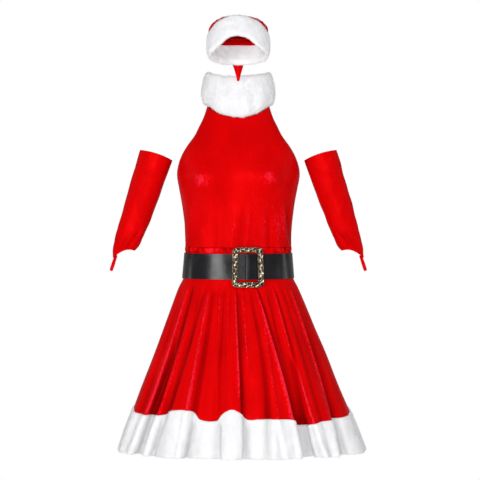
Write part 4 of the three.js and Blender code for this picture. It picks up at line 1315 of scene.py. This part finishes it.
class COSTUME_OT_sleeves(bpy.types.Operator):
    """Makes the two fingerless sleeves, each with a loop inside its point"""

    bl_idname = "costume.sleeves"
    bl_label = "Sleeves"

    def execute(self, context):
        top, wrist = np.array(SLEEVE["top"], float), np.array(SLEEVE["wrist"], float)
        length = np.linalg.norm(wrist - top)
        axis = (wrist - top) / length
        outer, ahead = np.array([-axis[2], 0, axis[0]]), np.array([0, -1.0, 0])

        def surface(angle, share):
            turn = np.radians(angle)
            cut = SLEEVE["outer_reach"] * ((1 + np.cos(turn)) / 2) ** SLEEVE["lower_cut"]
            bow = SLEEVE["bow"] * np.sin(turn) ** 2
            along = share * (length + cut * share ** 3) - bow * (1 - share) ** 2
            half = column(SLEEVE_SECTIONS, "along", "half", share) * np.cos(turn)
            deep = column(SLEEVE_SECTIONS, "along", "deep", share) * np.sin(turn)
            return top + along[..., None] * axis + half[..., None] * outer + deep[..., None] * ahead

        share = near_edges(0, 1, 66, 0.012)
        angle, share = np.meshgrid(np.linspace(-180, 180, 96, endpoint=False), share, indexing="ij")
        for name, side in (("left", -1), ("right", 1)):
            points = surface(angle, share)
            depth = ripple(points * [1, side, 1], 66, 51 + side) * 0.7 * ease(share * 5)
            for k in range(len(SLEEVE_CREASES["at"])):
                at, start, to_at, stop, out, width = (
                    SLEEVE_CREASES[n][k]
                    for n in ("at", "along", "to_at", "to_along", "out", "width"))
                if side < 0 and abs(at) < 96 and out > -1.3:
                    at, to_at = -at, -to_at
                t = np.clip((share - start) / (stop - start), -0.3, 1.3)
                off = ((angle - lerp(at, to_at, t) + 180) % 360 - 180) * DEGREE["sleeve"]
                fade = ease((t + 0.25) / 0.4) * ease((1.25 - t) / 0.4)
                depth = depth + out * bell(off / width) * fade
            rim = np.minimum(share, 1 - share) * SLEEVE_LENGTH
            depth = depth * ease(rim / 8) - 0.55 * np.exp(-rim / 1.1)
            depth -= 0.35 * bell((rim - STITCHED["sleeve"]) / 1.2)
            points = points + normals_of(points, closed=True) * depth[..., None]
            # Painted shade in the creases and painted highlight on the ridges, none near the ends
            ridge = ridge_of(1.2 * depth) * ease(rim / 14)
            near = [int(np.abs(share[0] * SLEEVE_LENGTH - at).argmin())
                    for at in (STITCHED["sleeve"], SLEEVE_LENGTH - STITCHED["sleeve"])]
            if side < 0:
                points, ridge = points[::-1] * [-1, 1, 1], ridge[::-1]
            outward = normals_of(points, closed=True)
            sewn = stitches(f"sleeve_{name}_stitches", [(points[:, k], outward[:, k]) for k in near])
            piece = velvet_sheet(f"sleeve_{name}_cloth", points, ridge, (f"sleeve_{name}",),
                                 closed=True)
            loop = self.loop(name, side, surface(np.array(0.0), np.array(1.0)), axis, outer, ahead)
        return {"FINISHED"}

    def loop(self, name, side, point, axis, outer, ahead):
        """A velvet strip, rounded over an elastic, sewn as a ring inside the sleeve's point."""
        root = point - outer * (VELVET + SLEEVE["loop_band"] * 0.28)
        middle = root + axis * (SLEEVE["loop_length"] / 2 - SLEEVE["loop_tuck"])
        turn = np.linspace(0, 2 * math.pi, 56, endpoint=False)[:, None]
        round_ = np.linspace(0, 2 * math.pi, 14, endpoint=False)[None]
        across = squared(np.cos(round_), 3.2) * SLEEVE["loop_band"] / 2
        grow = (squared(np.sin(round_), 2.4) - 1) * SLEEVE["loop_cloth"] / 2
        low = ease((1 - np.cos(turn)) / 1.5)
        across = across * lerp(0.9, 1 - 0.15 * bell(np.sin(turn) / 0.5), low)
        deep = lerp(0.22, 1, low) * SLEEVE["loop_depth"] / 2 + grow
        points = (middle - axis * ((SLEEVE["loop_length"] / 2 + grow) * np.cos(turn))[..., None]
                  + ahead * (deep * np.sin(turn))[..., None] + outer * across[..., None])
        if side < 0:
            points = points[::-1] * [-1, 1, 1]
        loop = keep(grid_mesh(f"finger_loop_{name}_cloth", points, True, True), velvet_material(),
                    (f"finger_loop_{name}",))
        # A fixed ridge value gives the loop a mottled painted highlight
        mark(loop.data, "ridge", np.full(len(loop.data.vertices), 0.35))
        return loop


class COSTUME_OT_hat(bpy.types.Operator):
    """Makes the hat: a folded plush brim, and a velvet crown that flops to a point"""

    bl_idname = "costume.hat"
    bl_label = "Hat"

    def execute(self, context):
        centre = np.array(HAT["centre"], float)
        lean = math.radians(HAT["lean"])
        axis = np.array([0, math.sin(lean), math.cos(lean)])
        raised = np.array([0, -math.cos(lean), math.sin(lean)])
        right = np.array([1.0, 0, 0])

        def on_ring(angle, radius, up):
            turn = np.radians(angle)
            lift = up - HAT["dip"] * np.sin(turn) ** 2
            return (centre + lift[..., None] * axis + (radius * np.sin(turn))[..., None] * right
                    + (radius * np.cos(turn))[..., None] * raised)

        out, up = section_at(BRIM_BACKING, 36, closed=True)
        angle = np.linspace(-180, 180, 150, endpoint=False)[:, None]
        lower = HAT["arch"] * (1 - bell((angle / HAT["arch_spread"]) ** 2))
        lower = lower * np.cos(np.radians(angle / 2)) ** 4
        up = np.where(up < 0, up * (1 + lower / 30), up)
        points, normals = facing_out(on_ring(angle, HAT["opening"] + out + 0 * angle, up), 1, True)
        uneven = ripple(points, 46, 61) * 0.8 + ripple(points, 19, 62) * 0.3
        points = points + normals * uneven[..., None]
        backing = keep(grid_mesh("hat_brim_backing", points, True, True), plush_material(),
                       ("hat_brim",))
        thicken(backing, PLUSH_BACKING)
        pile = pile_on("hat_brim_pile", points, normals_of(points, True, True), density=1.6,
                       seed=161, closed=True, ring=True, comb=(0, 0, -0.15), reach=0.72)

        steps = np.linspace(-180, 180, 96, endpoint=False)
        inside = HAT["opening"] - 0.5
        raise_back = HAT["raised_back"] * bell((np.abs(steps) - 180) / HAT["raised_spread"])
        rings = [on_ring(steps, radius, rise + raise_back * part) for radius, rise, part in
                 ((inside, HAT["facing"], 1.0), (inside, 22.0, 0.4), (inside + 3, 30.0, 0.0))]
        for k in range(len(CROWN["back"])):
            back, high, turn, half, tall, square = (
                CROWN[n][k] for n in ("back", "up", "turn", "half", "tall", "square"))
            s, c = math.sin(math.radians(turn)), math.cos(math.radians(turn))
            ring_s, ring_c = (squared(f(np.radians(steps)), square) for f in (np.sin, np.cos))
            rings.append(centre + np.stack([half * ring_s, back - c * tall * ring_c,
                                            high + s * tall * ring_c], -1))
        rings = np.stack(rings, 1)
        fine = np.linspace(0, rings.shape[1] - 1, 64)
        points, normals = facing_out(
            np.array([np.stack([between(way, fine) for way in line.T], -1) for line in rings]), 0)
        share = fine[None] / (rings.shape[1] - 1)
        turn = np.radians(steps)[:, None]
        pleats = np.cos(turn * 22 + 1.2 * np.sin(3 * turn)) * 0.9 * bell((share - 0.24) / 0.14)
        pleats = pleats * ease((share - 0.16) / 0.06)
        soft = ripple(points, 52, 63) * 1.3 * ease((share - 0.2) / 0.15) * ease((0.93 - share) / 0.25)
        points = points + normals * (pleats + soft)[..., None]
        tip = np.broadcast_to(points[:, -1].mean(0) - [0, 0, 0.6], (len(steps), 1, 3))
        points = np.concatenate([points, tip], 1)
        # Painted shade in the pleats' hollows and painted highlight on their tops and on the soft
        # swells
        ridge = np.concatenate([pleats / 1.6 + soft / 3.5, np.zeros((len(steps), 1))], 1)
        crown = velvet_sheet("hat_crown_cloth", points, ridge, ("hat_crown",), closed=True, pole=True)
        return {"FINISHED"}


def turned_to(target, place):
    """The turn of a light or a camera at a place that looks at a target."""
    return (Vector(target) - Vector(place)).to_track_quat("-Z", "Y").to_euler()


class COSTUME_OT_stage(bpy.types.Operator):
    """Makes the pale floor, the soft lights and the camera"""

    bl_idname = "costume.stage"
    bl_label = "Stage"

    def light(self, name, power, place, size):
        data = bpy.data.lights.new(name, "AREA")
        data.energy = power
        data.shape = "RECTANGLE"
        data.size, data.size_y = size
        lamp = bpy.data.objects.new(name, data)
        bpy.context.scene.collection.objects.link(lamp)
        lamp.location = place
        lamp.rotation_euler = turned_to(LIT_MIDDLE, place)

    def execute(self, context):
        scene, stage = context.scene, context.scene.costume_stage
        floor = primitive("plane", "stage_floor", size=9, location=(0, 0, stage.floor_height))
        choose(floor)
        bpy.ops.object.transform_apply(location=True, rotation=True, scale=True)
        material, add, _ = new_material("Pale floor")
        haze = add("ShaderNodeTexNoise", {"Vector": place_on(add), "Scale": 3.0, "Detail": 2.0})
        pale = stage.floor_colour
        floor.data.materials.append(finished(material, {
            "Base Color": mixed(add, haze.outputs["Fac"], opaque(pale, 0.985), opaque(pale)),
            "Roughness": 0.7, "Specular IOR Level": 0.2}))

        self.light("Main light", stage.key, (-2.1, -3.7, 0.0), (1.5, 2.4))
        self.light("Fill light", stage.fill, (2.8, -2.8, 2.2), (1.6, 2.2))
        for name, (power, place, size) in SMALL_LIGHTS.items():
            self.light(name, power, place, size)

        scene.world = bpy.data.worlds.new("Even surround")
        scene.world.use_nodes = True
        tree = scene.world.node_tree
        add = nodes_of(tree)
        ray = add("ShaderNodeLightPath").outputs["Is Camera Ray"]
        set_values(tree, tree.nodes["Background"], {
            "Color": (1, 1, 1, 1), "Strength": ranged(add, ray, low=stage.surround)})
        scene.view_settings.view_transform = "Standard"
        scene.view_settings.look = "None"

        data = bpy.data.cameras.new("Camera")
        data.lens, data.sensor_width, data.clip_end = CAMERA["lens"], CAMERA["sensor"], CAMERA["far"]
        camera = bpy.data.objects.new("Camera", data)
        scene.collection.objects.link(camera)
        camera.location = CAMERA["place"]
        camera.rotation_euler = turned_to(CAMERA["look_at"], CAMERA["place"])
        scene.camera = camera
        return {"FINISHED"}


OPERATORS = (
    COSTUME_OT_bodice, COSTUME_OT_collar, COSTUME_OT_casing, COSTUME_OT_skirt, COSTUME_OT_hem_band,
    COSTUME_OT_belt, COSTUME_OT_buckle, COSTUME_OT_sleeves, COSTUME_OT_hat, COSTUME_OT_stage,
)


class COSTUME_PT_panel(bpy.types.Panel):
    """Lists the costume's pieces, colours and stage"""

    bl_label = "Festive dress costume"
    bl_idname = "COSTUME_PT_panel"
    bl_space_type = "VIEW_3D"
    bl_region_type = "UI"
    bl_category = "Costume"

    def draw(self, context):
        layout = self.layout
        for group in (context.scene.costume_looks, context.scene.costume_stage):
            box = layout.box()
            for name in group.__annotations__:
                box.prop(group, name)
        for operator in OPERATORS:
            layout.operator(operator.bl_idname)


CLASSES = (CostumeLooks, CostumeStage, *OPERATORS, COSTUME_PT_panel)


def register():
    for item in CLASSES:
        bpy.utils.register_class(item)
    bpy.types.Scene.costume_looks = PointerProperty(type=CostumeLooks)
    bpy.types.Scene.costume_stage = PointerProperty(type=CostumeStage)


def unregister():
    del bpy.types.Scene.costume_stage
    del bpy.types.Scene.costume_looks
    for item in reversed(CLASSES):
        bpy.utils.unregister_class(item)


def main():
    register()
    for operator in OPERATORS:
        group, name = operator.bl_idname.split(".")
        getattr(getattr(bpy.ops, group), name)()
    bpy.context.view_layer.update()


if __name__ == "__main__":
    main()
